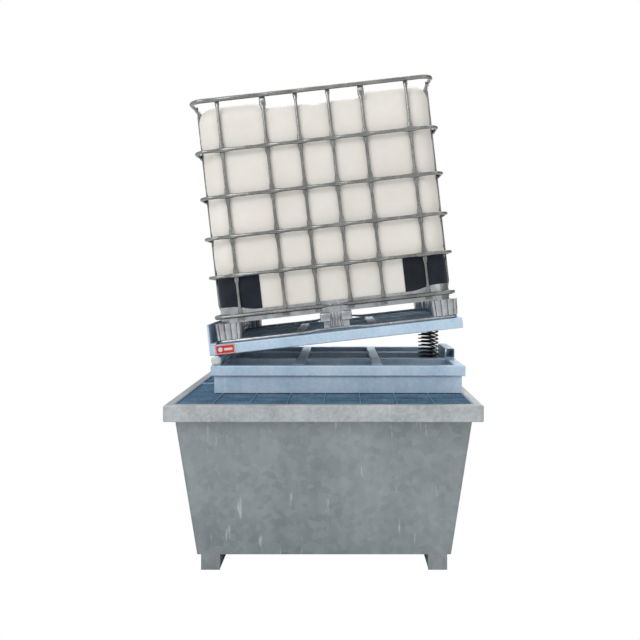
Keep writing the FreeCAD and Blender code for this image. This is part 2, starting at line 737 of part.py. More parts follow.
def valve_body():
    wall, body, end, z = valve_places()
    out = V(-1, 0, 0)
    lever_x = wall - VALVE_FLANGE_T - VALVE_BODY_L / 2
    top = z + VALVE_BODY_R + VALVE_BOSS_H
    solid = cyl(VALVE_FLANGE_R, VALVE_FLANGE_T, V(wall, 0, z), out)
    solid = solid.fuse([cyl(VALVE_BODY_R, VALVE_BODY_L, V(wall - VALVE_FLANGE_T, 0, z), out),
                        cyl(VALVE_OUTLET_R, VALVE_OUTLET_L, V(body, 0, z), out),
                        cyl(VALVE_BOSS_R, VALVE_BODY_R + VALVE_BOSS_H, V(lever_x, 0, z), UP)])
    bore = cyl(VALVE_BORE_R, wall - end, V(wall, 0, z), out)
    stem = cyl(LEVER_PIN_R + PIN_PLAY, LEVER_PIN_L + PIN_PLAY, V(lever_x, 0, top), V(0, 0, -1))
    return solid.cut([bore, stem])


def valve_lever():
    """Shut, the lever lies across the outlet; it swings a quarter turn to point outwards."""
    wall, _, _, z = valve_places()
    lever_x = wall - VALVE_FLANGE_T - VALVE_BODY_L / 2
    z0 = z + VALVE_BODY_R + VALVE_BOSS_H + SEAT_GAP
    hub = cyl(LEVER_HUB_R, LEVER_T, V(lever_x, 0, z0), UP)
    arm = box(lever_x - LEVER_W / 2, lever_x + LEVER_W / 2, 0, LEVER_L, z0, z0 + LEVER_T)
    arm = arm.makeFillet(LEVER_W / 3, [e for e in edges_along(arm, UP) if e.CenterOfMass.y > 1])
    pin = cyl(LEVER_PIN_R, LEVER_PIN_L, V(lever_x, 0, z0), V(0, 0, -1))
    return hub.fuse([arm, pin]).removeSplitter()


def outlet_cap():
    _, body, end, z = valve_places()
    outer_r = VALVE_OUTLET_R + LID_PLAY + CAP_WALL
    start = end - SEAT_GAP - CAP_END
    cup = cyl(outer_r, CAP_L, V(start, 0, z), V(1, 0, 0))
    hollow = cyl(outer_r - CAP_WALL, CAP_L - CAP_END, V(start + CAP_END, 0, z), V(1, 0, 0))
    return cup.cut(hollow)


# ---- build -----------------------------------------------------------------------------------
def build_sump():
    floor_half = tub_half(SKID_H)
    save("tub_floor", [centred(2 * floor_half, 2 * floor_half, SKID_H, SKID_H + SUMP_SHEET)], on_sump)
    names = ("tub_front_wall", "tub_right_wall", "tub_rear_wall", "tub_left_wall")
    for name, wall in zip(names, quarter_turns(tub_wall())):
        save(name, [wall], on_sump)
    save("sump_rim", quarter_turns(rim_length()), on_sump)
    save("grating_ledge", quarter_turns(ledge_length()), on_sump)
    save("skid_left", skid(-1), on_sump)
    save("skid_right", skid(1), on_sump)
    save("support_beam", support_beam(), on_sump)
    save("grating_front", grating(-1), on_sump)
    save("grating_rear", grating(1), on_sump)


def build_base():
    rim, cross, long = stand_frame_members(BASE_RIM_Z)
    save("base_skirt", base_skirt(), on_stand)
    save("base_rim", rim, on_stand)
    save("base_cross_tubes", cross, on_stand)
    save("base_long_members", long, on_stand)
    save("lower_spring_seat", [spring_seat(0)], on_stand)
    save("lower_spring_spigots", spigots(SEAT_T), on_stand)
    save("spring_front", [spring(-SPRING_Y)], on_stand)
    save("spring_rear", [spring(SPRING_Y)], on_stand)
    save("rest_stop", [rest_stop()], on_stand)
    save("base_knuckles", knuckles(False), on_stand)
    save("hinge_pin", [hinge_pin()], on_stand)
    save("hinge_pin_caps", pin_caps(), on_stand)


def build_platform():
    rim, cross, long = stand_frame_members(DECK_Z)
    save("platform_rim", rim, on_platform)
    save("platform_cross_tubes", cross, on_platform)
    save("platform_long_members", long, on_platform)
    save("platform_knuckles", knuckles(True), on_platform)
    save("end_stop", [end_stop()], on_platform)
    save("upper_spring_seat", [spring_seat(DECK_Z - SEAT_T)], on_platform)
    save("upper_spring_spigots", spigots(DECK_Z - SEAT_T - SPIGOT_H), on_platform)
    save("marker_plate", [marker_plate()], on_platform)


def build_container():
    save("pallet_runner", runner(), on_container)
    save("corner_feet", corner_feet(), on_container)
    save("middle_feet", middle_feet(), on_container)
    save("pallet_pan", [pallet_pan()], on_container)
    inset = 2 * PALLET_RING_INSET
    save("pallet_ring", tube_ring(CAGE_L - inset, CAGE_W - inset, PALLET_RING_Z, PALLET_RING_R,
                                  CAGE_CORNER), on_container)
    for number, z in enumerate(RING_HEIGHTS, 1):
        save("cage_ring_%d" % number, tube_ring(CAGE_L, CAGE_W, z, RING_R, CAGE_CORNER), on_container)
    save("top_ring", tube_ring(CAGE_L, CAGE_W, TOP_RING_Z, TOP_RING_R, CAGE_CORNER), on_container)
    save("front_uprights", long_side_uprights(-1), on_container)
    save("rear_uprights", long_side_uprights(1), on_container)
    save("left_uprights", short_side_uprights(-1), on_container)
    save("right_uprights", short_side_uprights(1), on_container)
    save("top_bars", top_bars(), on_container)
    save("top_bar_bolts", top_bolts(), on_container)
    save("bottle", [bottle()], on_container)
    sides = (("front_left", -1, -1), ("front_right", 1, -1), ("rear_left", -1, 1),
             ("rear_right", 1, 1))
    for name, sx, sy in sides:
        save("corner_guard_" + name, [corner_guard(sx, sy)], on_container)
    save("lid", [lid()], on_container)
    save("lid_gasket", [lid_gasket()], on_container)
    save("vent_plug", [vent_plug()], on_container)
    save("valve_body", [valve_body()], on_container)
    save("valve_lever", [valve_lever()], on_container)
    save("outlet_cap", [outlet_cap()], on_container)


os.makedirs("parts", exist_ok=True)
build_sump()
build_base()
build_platform()
build_container()
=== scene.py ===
# %% [markdown]
# # A caged bulk container on a tilting stand, over a spill sump
# A thousand-litre plastic bottle stands in a galvanised cage on a steel pallet. The pallet rests
# on a platform that springs push up at one end, so the last of the liquid runs to the outlet.
# Below is a steel sump with a grating. The engineering model gives every size and place. The
# cells below give each piece its looks, and replace the pieces whose real shape is softer than
# plain solids.

# %% Load the frame
import json
import math

import bpy
from mathutils import Matrix, Vector


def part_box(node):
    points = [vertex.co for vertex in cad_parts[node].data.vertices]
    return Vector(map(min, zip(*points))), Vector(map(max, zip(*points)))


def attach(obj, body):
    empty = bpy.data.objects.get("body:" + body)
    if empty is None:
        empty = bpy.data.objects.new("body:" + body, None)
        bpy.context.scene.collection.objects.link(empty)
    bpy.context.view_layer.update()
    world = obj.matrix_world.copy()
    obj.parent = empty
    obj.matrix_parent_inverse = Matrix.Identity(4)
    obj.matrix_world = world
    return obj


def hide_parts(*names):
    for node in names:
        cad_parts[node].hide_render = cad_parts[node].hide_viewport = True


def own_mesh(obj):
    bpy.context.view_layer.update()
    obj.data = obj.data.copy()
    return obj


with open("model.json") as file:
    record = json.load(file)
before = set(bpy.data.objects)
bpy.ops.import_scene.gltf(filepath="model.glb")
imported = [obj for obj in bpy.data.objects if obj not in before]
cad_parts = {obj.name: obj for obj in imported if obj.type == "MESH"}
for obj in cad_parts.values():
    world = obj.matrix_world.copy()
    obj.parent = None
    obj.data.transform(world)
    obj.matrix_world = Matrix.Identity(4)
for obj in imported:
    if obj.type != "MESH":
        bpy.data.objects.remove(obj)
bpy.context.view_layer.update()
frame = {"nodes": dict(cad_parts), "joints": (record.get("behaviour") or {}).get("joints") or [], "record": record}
bpy.ops.object.select_all(action="DESELECT")
NODES = frame["nodes"]
JOINTS = {joint["name"]: joint for joint in frame["joints"]}

# %% [markdown]
# ## Working level
# The platform and the container rest turned up by a few degrees. It is far easier to model them
# level, with their sides along the axes, and to turn each finished piece about the hinge at the
# end. The lift joint's axis is the platform's own upward direction, so it gives the angle.

# %% Turning between the level and the resting position
HINGE = Vector(JOINTS["platform_tilt"]["pos_m"])
LIFT = Vector(JOINTS["container_lift"]["axis"])
TILT = math.atan2(-LIFT.x, LIFT.z)


def about(point, matrix):
    """A turn or a mirroring matrix, moved so that it works about a point."""
    point = Vector(point)
    return Matrix.Translation(point) @ matrix @ Matrix.Translation(-point)


TO_REST = about(HINGE, Matrix.Rotation(-TILT, 4, "Y"))
TO_LEVEL = TO_REST.inverted()


def level_box(node):
    """Lowest and highest corner of a node of the platform or container, once turned level."""
    points = [TO_LEVEL @ vertex.co for vertex in NODES[node].data.vertices]
    return (Vector([min(p[i] for p in points) for i in range(3)]),
            Vector([max(p[i] for p in points) for i in range(3)]))


def rest_box(node):
    """Lowest and highest corner of a node where it rests."""
    return [Vector(corner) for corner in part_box(node)]


print("tilt", round(math.degrees(TILT), 2))

# %% [markdown]
# ## A few habits for modelling by operator
# An operator works on what is selected. So each helper starts from an empty selection, picks
# faces or edges in code by where they are, and leaves the piece in object mode with its place in
# its mesh.

# %% Helpers for operators
MILLI = 0.001
FINISHES = {}                            # each finish, by the name of its slot
SHARP = math.radians(35)                 # a steeper fold than this counts as an edge
CORNERS = ((-1, -1), (-1, 1), (1, -1), (1, 1))
AXIS_TURN = {"X": (0, math.pi / 2, 0), "Y": (math.pi / 2, 0, 0), "Z": (0, 0, 0)}


def deselect():
    bpy.ops.object.select_all(action="DESELECT")


def only(piece):
    deselect()
    piece.select_set(True)
    bpy.context.view_layer.objects.active = piece
    return piece


def named(name):
    """The object an operator has just added, under the name it keeps."""
    piece = bpy.context.object
    piece.name = name
    piece.data.name = name
    return piece


def settled(name):
    """Put the place and turn of a primitive that was just added into its mesh, and name it."""
    bpy.ops.object.transform_apply(location=True, rotation=True, scale=True)
    return named(name)


def block(name, low, high):
    """A box between two corners."""
    deselect()
    low, high = Vector(low), Vector(high)
    bpy.ops.mesh.primitive_cube_add(size=1, location=(low + high) / 2, scale=high - low)
    return settled(name)


def drum(name, centre, radius, length, along="Z", sides=48):
    """A cylinder on a centre, its axis along X, Y or Z."""
    deselect()
    bpy.ops.mesh.primitive_cylinder_add(vertices=sides, radius=radius, depth=length,
                                        location=centre, rotation=AXIS_TURN[along])
    return settled(name)


def pick(piece, kind, test):
    """Go into edit mode with only the faces, edges or vertices that pass a test selected."""
    only(piece)
    mesh = piece.data
    for group in (mesh.vertices, mesh.edges, mesh.polygons):
        group.foreach_set("select", [False] * len(group))
    modes = {"vertices": (True, False, False), "edges": (False, True, False),
             "polygons": (False, False, True)}
    bpy.context.tool_settings.mesh_select_mode = modes[kind]
    for item in getattr(mesh, kind):
        item.select = test(item)
    bpy.ops.object.mode_set(mode="EDIT")


def edit_all():
    """Go into edit mode on the active piece, with all of it selected."""
    bpy.ops.object.mode_set(mode="EDIT")
    bpy.ops.mesh.select_mode(type="VERT")
    bpy.ops.mesh.select_all(action="SELECT")


def done_editing():
    bpy.ops.object.mode_set(mode="OBJECT")


def edge_run(piece, edge):
    """The line from one end of an edge to the other, and the edge's middle."""
    a, b = (piece.data.vertices[i].co for i in edge.vertices)
    return b - a, (a + b) / 2


def bevel_edges(piece, test, width, segments=3):
    """Round the edges whose line and middle pass a test."""
    pick(piece, "edges", lambda edge: test(*edge_run(piece, edge)))
    bpy.ops.mesh.bevel(offset=width, offset_type="OFFSET", segments=segments, profile=0.5,
                       affect="EDGES")
    done_editing()
    return piece


def modify(piece, kind, **settings):
    """Add a modifier, set it and apply it."""
    only(piece)
    modifier = piece.modifiers.new(kind.lower(), kind)
    for key, value in settings.items():
        setattr(modifier, key, value)
    bpy.ops.object.modifier_apply(modifier=modifier.name)
    return piece


def soften(piece, width, segments=2):
    """Round every sharp edge."""
    return modify(piece, "BEVEL", width=width, segments=segments, limit_method="ANGLE",
                  angle_limit=SHARP)


def cut_out(piece, cutter):
    modify(piece, "BOOLEAN", operation="DIFFERENCE", object=cutter, solver="EXACT")
    bpy.data.objects.remove(cutter)
    return piece


def join(name, parts):
    deselect()
    for part in parts:
        part.select_set(True)
    bpy.context.view_layer.objects.active = parts[0]
    bpy.ops.object.join()
    return named(name)


def outward(piece):
    """Merge doubles and turn every face outwards."""
    only(piece)
    edit_all()
    bpy.ops.mesh.remove_doubles(threshold=0.00005)
    bpy.ops.mesh.normals_make_consistent(inside=False)
    done_editing()
    return piece


def copy_of(piece, name, matrix):
    """A copy with its own mesh, moved or turned by a matrix."""
    twin = piece.copy()
    twin.data = piece.data.copy()
    twin.name = name
    twin.data.name = name
    bpy.context.collection.objects.link(twin)
    twin.data.transform(matrix)
    if matrix.determinant() < 0:
        twin.data.flip_normals()
    return twin


def finish(piece, body, slot_name, replaced=(), level=True):
    """Turn a piece to its resting place, give it its finish and let it ride on its body."""
    if level:
        piece.data.transform(TO_REST)
    only(piece)
    bpy.ops.object.shade_smooth_by_angle(angle=SHARP)
    piece.data.materials.clear()
    piece.data.materials.append(FINISHES[slot_name])
    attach(piece, body)
    if replaced:
        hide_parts(*replaced)
    print(piece.name, "faces", len(piece.data.polygons))
    return piece


def turned(angle, centre):
    """Matrix for a turn about a vertical line through a point."""
    return about(centre, Matrix.Rotation(angle, 4, "Z"))


# %% [markdown]
# ## Camera and light
# The camera stands about four metres in front, level with the lower part of the container, a
# little to the right of the middle. A small lens shift frames the object without tipping the
# camera, so the sump's sides stay true. The light is what a white studio gives: bright all round,
# brighter from the upper left, with four large soft lamps. The backdrop is plain white to the
# camera, and the floor only throws light back up.

# %% Camera, floor and light
EYE = (0.081, -4.086, 1.334)
SENSOR_MM = 36.0
LENS_MM = 43.6725
SHIFT = (-0.034375, -0.0703125)
bpy.ops.object.camera_add(location=EYE, rotation=(math.pi / 2, 0, 0))
camera = bpy.context.object
camera.data.sensor_width = SENSOR_MM
camera.data.lens = LENS_MM
camera.data.shift_x, camera.data.shift_y = SHIFT
camera.data.clip_end = 200
bpy.context.scene.camera = camera

bpy.ops.mesh.primitive_plane_add(size=80, location=(0, 0, 0))
floor = named("studio_floor")
floor.visible_camera = False


def lamp(name, location, aim, size, watts):
    bpy.ops.object.light_add(type="AREA", location=location)
    light = bpy.context.object
    light.name = name
    light.data.size = size
    light.data.energy = watts
    light.rotation_euler = (Vector(aim) - Vector(location)).to_track_quat("-Z", "Y").to_euler()


lamp("key_lamp", (-3.2, -4.2, 4.4), (0, 0, 1.1), 3.0, 128)
lamp("fill_lamp", (3.8, -3.6, 3.0), (0, 0, 1.0), 3.0, 30)
lamp("top_lamp", (0.5, 1.5, 5.5), (0, 0, 1.5), 3.5, 80)
lamp("rear_lamp", (1.0, 5.0, 3.0), (0, 0, 1.2), 3.0, 50)

# %% The white studio
# The light grows towards one direction of the sky, from dim to bright.
WHITE = (1.0, 1.0, 1.0, 1.0)
BRIGHT_SIDE = (-0.42, -0.3, 0.86)
SPREAD = {"From Min": -0.7, "From Max": 0.8, "To Min": 0.16, "To Max": 1.02}
world = bpy.data.worlds.new("white_studio")
world.use_nodes = True
sky = world.node_tree
lit = sky.nodes["Background"]
lit.inputs["Color"].default_value = WHITE
facing = sky.nodes.new("ShaderNodeTexCoord")
aim = sky.nodes.new("ShaderNodeVectorMath")
aim.operation = "DOT_PRODUCT"
aim.inputs[1].default_value = BRIGHT_SIDE
spread = sky.nodes.new("ShaderNodeMapRange")
for socket, value in SPREAD.items():
    spread.inputs[socket].default_value = value
seen = sky.nodes.new("ShaderNodeBackground")
seen.inputs["Color"].default_value = WHITE
rays = sky.nodes.new("ShaderNodeLightPath")
either = sky.nodes.new("ShaderNodeMixShader")
for source, target in ((facing.outputs["Generated"], aim.inputs[0]),
                       (aim.outputs["Value"], spread.inputs["Value"]),
                       (spread.outputs[0], lit.inputs["Strength"]),
                       (rays.outputs["Is Camera Ray"], either.inputs[0]),
                       (lit.outputs[0], either.inputs[1]),
                       (seen.outputs[0], either.inputs[2]),
                       (either.outputs[0], sky.nodes["World Output"].inputs["Surface"])):
    sky.links.new(source, target)
bpy.context.scene.world = world
bpy.context.scene.view_settings.view_transform = "Standard"
print("lens", round(camera.data.lens, 2), "lamps", len(bpy.data.lights))

# %% [markdown]
# ## Finishes
# Hot-dip zinc is never one grey. It has crystals, called spangle, cloudy patches where it cooled
# at different speeds, and pale runs where it dripped. One node group makes all of that from
# noise, and each zinc finish uses it with its own colours and scales. Plastics share a second
# group, for a fine moulded grain with faint patches. The groups put out only what changes over
# the surface. Whatever is the same all over is set on the shader itself.

# %% Node group helpers
COLOUR = "NodeSocketColor"
NUMBER = "NodeSocketFloat"
OUTPUTS = (("Color", COLOUR), ("Roughness", NUMBER), ("Height", NUMBER))


def srgb(red, green, blue):
    """A colour as seen on a screen, 0 to 255, turned linear for the shader."""
    def linear(value):
        value /= 255.0
        return value / 12.92 if value <= 0.04045 else ((value + 0.055) / 1.055) ** 2.4
    return (linear(red), linear(green), linear(blue), 1.0)


def new_group(name, inputs):
    """A shader node group with its input sockets, each (name, kind, default), and its outputs."""
    group = bpy.data.node_groups.new(name, "ShaderNodeTree")
    for label, kind, value in inputs:
        socket = group.interface.new_socket(name=label, in_out="INPUT", socket_type=kind)
        socket.default_value = value
    for label, kind in OUTPUTS:
        group.interface.new_socket(name=label, in_out="OUTPUT", socket_type=kind)
    return group, group.nodes.new("NodeGroupInput"), group.nodes.new("NodeGroupOutput")


def feed(tree, socket, value):
    """Link a socket to another one, or set it to a number."""
    if isinstance(value, (int, float)):
        socket.default_value = value
    else:
        tree.links.new(value, socket)


def noise(tree, vector, scale, detail=3.0, rough=0.55):
    node = tree.nodes.new("ShaderNodeTexNoise")
    node.inputs["Detail"].default_value = detail
    node.inputs["Roughness"].default_value = rough
    tree.links.new(vector, node.inputs["Vector"])
    feed(tree, node.inputs["Scale"], scale)
    return node.outputs["Fac"]


def remap(tree, value, low, high, to_low=0.0, to_high=1.0):
    """Spread the range from low to high over the range from to_low to to_high."""
    node = tree.nodes.new("ShaderNodeMapRange")
    for label, source in (("Value", value), ("From Min", low), ("From Max", high),
                          ("To Min", to_low), ("To Max", to_high)):
        feed(tree, node.inputs[label], source)
    return node.outputs["Result"]


def blend_colour(tree, share, first, second):
    node = tree.nodes.new("ShaderNodeMix")
    node.data_type = "RGBA"
    tree.links.new(share, node.inputs["Factor"])
    tree.links.new(first, node.inputs["A"])
    tree.links.new(second, node.inputs["B"])
    return node.outputs["Result"]


def arithmetic(tree, operation, *values):
    node = tree.nodes.new("ShaderNodeMath")
    node.operation = operation
    for socket, value in zip(node.inputs, values):
        feed(tree, socket, value)
    return node.outputs["Value"]


def stretched(tree, vector, scale):
    node = tree.nodes.new("ShaderNodeMapping")
    node.inputs["Scale"].default_value = scale
    tree.links.new(vector, node.inputs["Vector"])
    return node.outputs["Vector"]


# %% The zinc group
WIPE_STRETCH = (9.0, 9.0, 1.1)           # cloudy patches, drawn out downwards
DRIP_STRETCH = (26.0, 26.0, 2.2)         # thin runs


def vary_roughness(group, share, start, end):
    """Let a mask choose between the group's two roughnesses."""
    rough = remap(group, share, 0.0, 1.0, start.outputs["Rough Low"], start.outputs["Rough High"])
    group.links.new(rough, end.inputs["Roughness"])


def zinc_group():
    group, start, end = new_group(
        "hot_dip_zinc",
        (("Dark", COLOUR, srgb(105, 112, 112)), ("Light", COLOUR, srgb(160, 166, 166)),
         ("Run", COLOUR, srgb(205, 208, 208)), ("Spangle Scale", NUMBER, 45.0),
         ("Patch Scale", NUMBER, 3.5), ("Run Amount", NUMBER, 0.5),
         ("Rough Low", NUMBER, 0.38), ("Rough High", NUMBER, 0.62)))
    place = group.nodes.new("ShaderNodeTexCoord").outputs["Object"]
    crystals = group.nodes.new("ShaderNodeTexVoronoi")
    group.links.new(place, crystals.inputs["Vector"])
    group.links.new(start.outputs["Spangle Scale"], crystals.inputs["Scale"])
    facet = group.nodes.new("ShaderNodeSeparateColor")
    group.links.new(crystals.outputs["Color"], facet.inputs["Color"])
    patches = remap(group, noise(group, place, start.outputs["Patch Scale"], 5.0, 0.6), 0.32, 0.68)
    wipe = noise(group, stretched(group, place, WIPE_STRETCH), 1.0, 6.0, 0.62)
    share = arithmetic(group, "MULTIPLY_ADD", patches, 0.55, 0.1)
    spangle = remap(group, facet.outputs["Red"], 0.0, 1.0, 0.0, 0.3)
    share = arithmetic(group, "ADD", share, spangle)
    share = arithmetic(group, "ADD", share, remap(group, wipe, 0.35, 0.65, -0.12, 0.12))
    base = blend_colour(group, share, start.outputs["Dark"], start.outputs["Light"])
    drips = noise(group, stretched(group, place, DRIP_STRETCH), 1.0, 4.0, 0.7)
    drips = remap(group, drips, 0.62, 0.74)
    drips = arithmetic(group, "MULTIPLY", drips, start.outputs["Run Amount"])
    group.links.new(blend_colour(group, drips, base, start.outputs["Run"]), end.inputs["Color"])
    vary_roughness(group, patches, start, end)
    steps = arithmetic(group, "MULTIPLY", facet.outputs["Green"], 0.25)
    fine = noise(group, place, 160.0, 2.0, 0.6)
    group.links.new(arithmetic(group, "MULTIPLY_ADD", fine, 0.35, steps), end.inputs["Height"])
    return group


ZINC = zinc_group()
print("zinc nodes", len(ZINC.nodes))


# %% The plastic group
def plastic_group():
    group, start, end = new_group(
        "moulded_plastic",
        (("Base", COLOUR, srgb(218, 214, 207)), ("Patch", COLOUR, srgb(208, 204, 196)),
         ("Patch Scale", NUMBER, 4.0), ("Grain Scale", NUMBER, 350.0),
         ("Rough Low", NUMBER, 0.38), ("Rough High", NUMBER, 0.52)))
    place = group.nodes.new("ShaderNodeTexCoord").outputs["Object"]
    cloud = remap(group, noise(group, place, start.outputs["Patch Scale"], 5.0, 0.62), 0.35, 0.66)
    group.links.new(blend_colour(group, cloud, start.outputs["Base"], start.outputs["Patch"]),
                    end.inputs["Color"])
    vary_roughness(group, cloud, start, end)
    grain = noise(group, place, start.outputs["Grain Scale"], 2.0, 0.5)
    group.links.new(grain, end.inputs["Height"])
    return group


PLASTIC = plastic_group()

# %% A finish from a group
def finish_from(name, group, metallic, bump, values):
    """A material whose colour, roughness and bump come from a group, the rest from its shader."""
    material = bpy.data.materials.new(name)
    material.use_nodes = True
    tree = material.node_tree
    shader = tree.nodes["Principled BSDF"]
    shader.inputs["Metallic"].default_value = metallic
    surface = tree.nodes.new("ShaderNodeGroup")
    surface.node_tree = group
    for key, value in values.items():
        surface.inputs[key].default_value = value
    relief = tree.nodes.new("ShaderNodeBump")
    relief.inputs["Strength"].default_value = bump
    relief.inputs["Distance"].default_value = MILLI
    tree.links.new(surface.outputs["Height"], relief.inputs["Height"])
    tree.links.new(surface.outputs["Color"], shader.inputs["Base Color"])
    tree.links.new(surface.outputs["Roughness"], shader.inputs["Roughness"])
    tree.links.new(relief.outputs["Normal"], shader.inputs["Normal"])
    FINISHES[name] = material


# %% [markdown]
# Each finish then takes only its own colours. The tub is the most mottled, as large thick sheet
# cools unevenly. The stand is a thinner, bluer zinc. The cage tube is small and dull. The pallet
# is pressed from bright strip.

# %% The zinc finishes
ZINC_SOCKETS = ("Dark", "Light", "Run", "Spangle Scale", "Patch Scale", "Run Amount", "Rough Low",
                "Rough High")
for name, metallic, bump, *values in (
        ("galvanised_tub", 0.25, 0.35, srgb(98, 106, 109), srgb(136, 144, 147), srgb(200, 205, 208),
         34.0, 2.2, 0.55, 0.38, 0.62),
        ("galvanised_rim", 0.25, 0.4, srgb(126, 130, 133), srgb(174, 178, 181), srgb(216, 218, 220),
         90.0, 7.0, 0.3, 0.38, 0.62),
        ("grating_zinc", 0.45, 0.4, srgb(72, 104, 132), srgb(118, 152, 180), srgb(190, 196, 200),
         120.0, 9.0, 0.5, 0.38, 0.62),
        ("stand_zinc", 0.3, 0.35, srgb(150, 178, 202), srgb(194, 211, 226), srgb(220, 227, 233),
         110.0, 5.0, 0.4, 0.38, 0.62),
        ("cage_zinc", 0.9, 0.25, srgb(96, 98, 97), srgb(146, 148, 146), srgb(206, 207, 204),
         260.0, 14.0, 0.5, 0.18, 0.34),
        ("pallet_zinc", 0.9, 0.05, srgb(126, 130, 134), srgb(190, 193, 196), srgb(236, 237, 238),
         45.0, 10.0, 0.5, 0.16, 0.3),
        ("pin_steel", 0.85, 0.3, srgb(176, 178, 180), srgb(214, 216, 218), srgb(230, 230, 230),
         300.0, 30.0, 0.5, 0.2, 0.38),
        ("bolt_steel", 0.85, 0.3, srgb(160, 162, 164), srgb(206, 208, 210), srgb(225, 225, 225),
         400.0, 40.0, 0.5, 0.22, 0.4)):
    finish_from(name, ZINC, metallic, bump, dict(zip(ZINC_SOCKETS, values)))

# %% The plastic and dark finishes
PLASTIC_SOCKETS = ("Base", "Patch", "Patch Scale", "Grain Scale", "Rough Low", "Rough High")
for name, metallic, bump, *values in (
        ("spring_steel", 0.3, 0.5, srgb(24, 24, 26), srgb(46, 46, 48), 30.0, 350.0, 0.3, 0.5),
        ("bottle_plastic", 0.0, 0.12, srgb(212, 209, 203), srgb(203, 199, 192), 3.0, 350.0, 0.4,
         0.5),
        ("guard_plastic", 0.0, 0.35, srgb(14, 18, 24), srgb(30, 38, 48), 7.0, 500.0, 0.5, 0.7),
        ("cap_plastic", 0.0, 0.35, srgb(22, 22, 24), srgb(38, 38, 42), 25.0, 350.0, 0.35, 0.5),
        ("valve_plastic", 0.0, 0.3, srgb(40, 42, 46), srgb(56, 58, 62), 20.0, 350.0, 0.4, 0.55),
        ("seal_rubber", 0.0, 0.4, srgb(30, 30, 30), srgb(44, 44, 44), 30.0, 350.0, 0.6, 0.8),
        ("marker_red", 0.0, 0.2, srgb(196, 16, 24), srgb(176, 20, 26), 30.0, 350.0, 0.3, 0.45),
        ("studio_floor", 0.0, 0.05, srgb(250, 250, 250), srgb(246, 246, 246), 1.0, 350.0, 0.7,
         0.8)):
    finish_from(name, PLASTIC, metallic, bump, dict(zip(PLASTIC_SOCKETS, values)))
for name, socket, value in (("bottle_plastic", "Subsurface Weight", 0.15),
                            ("bottle_plastic", "Subsurface Scale", 0.02),
                            ("guard_plastic", "Specular IOR Level", 0.18)):
    FINISHES[name].node_tree.nodes["Principled BSDF"].inputs[socket].default_value = value
floor.data.materials.append(FINISHES["studio_floor"])

# %% Give every carried-over node its finish
for row in frame["record"]["subparts"]:
    node = NODES[row["node"]]
    node.data.materials.clear()
    node.data.materials.append(FINISHES[row["material_slot"]])
print("finishes", len(FINISHES))

# %% [markdown]
# ## Bottle
# The bottle is blow-moulded: one skin with large soft corners everywhere. A cube with two widths
# of bevel gives the body. Plain cutters take out the trough under the top bars, the channel to
# the neck and the niche for the valve. A fine voxel remesh and some smoothing then melt all the
# edges into one skin, as the moulding does.

# %% The bottle's body
CENTRE = sum(level_box("cage_ring_1"), Vector()) / 2
bottle_low, bottle_high = level_box("bottle")
TROUGH_DEPTH = 37 * MILLI
TROUGH_HALF = 265 * MILLI
NICHE_HALF = 115 * MILLI
NICHE_HEIGHT = 190 * MILLI
CORNER_ROUND, SHOULDER_ROUND, BASE_ROUND = 0.08, 0.075, 0.04
OVER = 0.1                               # how far a cutter stands out of what it cuts
shoulder_z = bottle_high.z
trough_z = shoulder_z - TROUGH_DEPTH
valve_low, valve_high = level_box("valve_body")

bottle = block("bottle_body", bottle_low, bottle_high)
bevel_edges(bottle, lambda run, middle: abs(run.z) > 0.5, CORNER_ROUND, 10)
bevel_edges(bottle, lambda run, middle: middle.z > shoulder_z - MILLI, SHOULDER_ROUND, 7)
bevel_edges(bottle, lambda run, middle: middle.z < bottle_low.z + MILLI, BASE_ROUND, 5)
trough = block("cutter", (CENTRE.x - TROUGH_HALF, bottle_low.y - OVER, trough_z),
               (CENTRE.x + TROUGH_HALF, bottle_high.y + OVER, shoulder_z + OVER))
bevel_edges(trough, lambda run, middle: middle.z < trough_z + MILLI and abs(run.y) > 0.5, 0.012)
cut_out(bottle, trough)
dip = drum("cutter", (CENTRE.x + 0.012, bottle_low.y, trough_z + 0.082), 0.095, 0.3, "Y")
cut_out(bottle, dip)
niche = block("cutter", (bottle_low.x - OVER, CENTRE.y - NICHE_HALF, bottle_low.z - OVER),
              (valve_high.x, CENTRE.y + NICHE_HALF, bottle_low.z + NICHE_HEIGHT))
soften(niche, 0.02, 4)
cut_out(bottle, niche)
modify(bottle, "REMESH", mode="VOXEL", voxel_size=0.011, adaptivity=0.0)
modify(bottle, "SMOOTH", factor=0.5, iterations=14)

# %% The bottle's swell
# Above the guards the walls belly out between the cage's rings and uprights.
RING_NODES = ["cage_ring_%d" % number for number in (1, 2, 3, 4)]
RING_Z = [sum(level_box(node), Vector()).z / 2 for node in RING_NODES]
SIDE_U = [u * MILLI for u in (-345, -140, 140, 345)]
END_BELLY = 11 * MILLI
FACE_BELLY = 3 * MILLI
LEAST_SWELL = 0.55                       # share of the swell that is left at a ring
POST_CLEAR, POST_EASE = 0.012, 0.05      # half width held in by an upright, and its run-out
levels = RING_Z + [shoulder_z + 0.06]
normals = [vertex.normal.copy() for vertex in bottle.data.vertices]
for vertex, normal in zip(bottle.data.vertices, normals):
    spans = [pair for pair in zip(levels, levels[1:]) if pair[0] <= vertex.co.z <= pair[1]]
    if not spans:
        continue
    bottom, top = spans[0]
    swell = math.sin(math.pi * (vertex.co.z - bottom) / (top - bottom)) ** 0.5
    if bottom > RING_Z[0]:
        swell = LEAST_SWELL + (1 - LEAST_SWELL) * swell
    clear = min(abs(vertex.co.y - CENTRE.y - u) for u in SIDE_U)
    free = min(1.0, max(0.0, (clear - POST_CLEAR) / POST_EASE))
    vertex.co.x += normal.x * swell * (FACE_BELLY + (END_BELLY - FACE_BELLY) * free)
    vertex.co.y += normal.y * swell * FACE_BELLY
finish(bottle, "container", "bottle_plastic", ["bottle"])

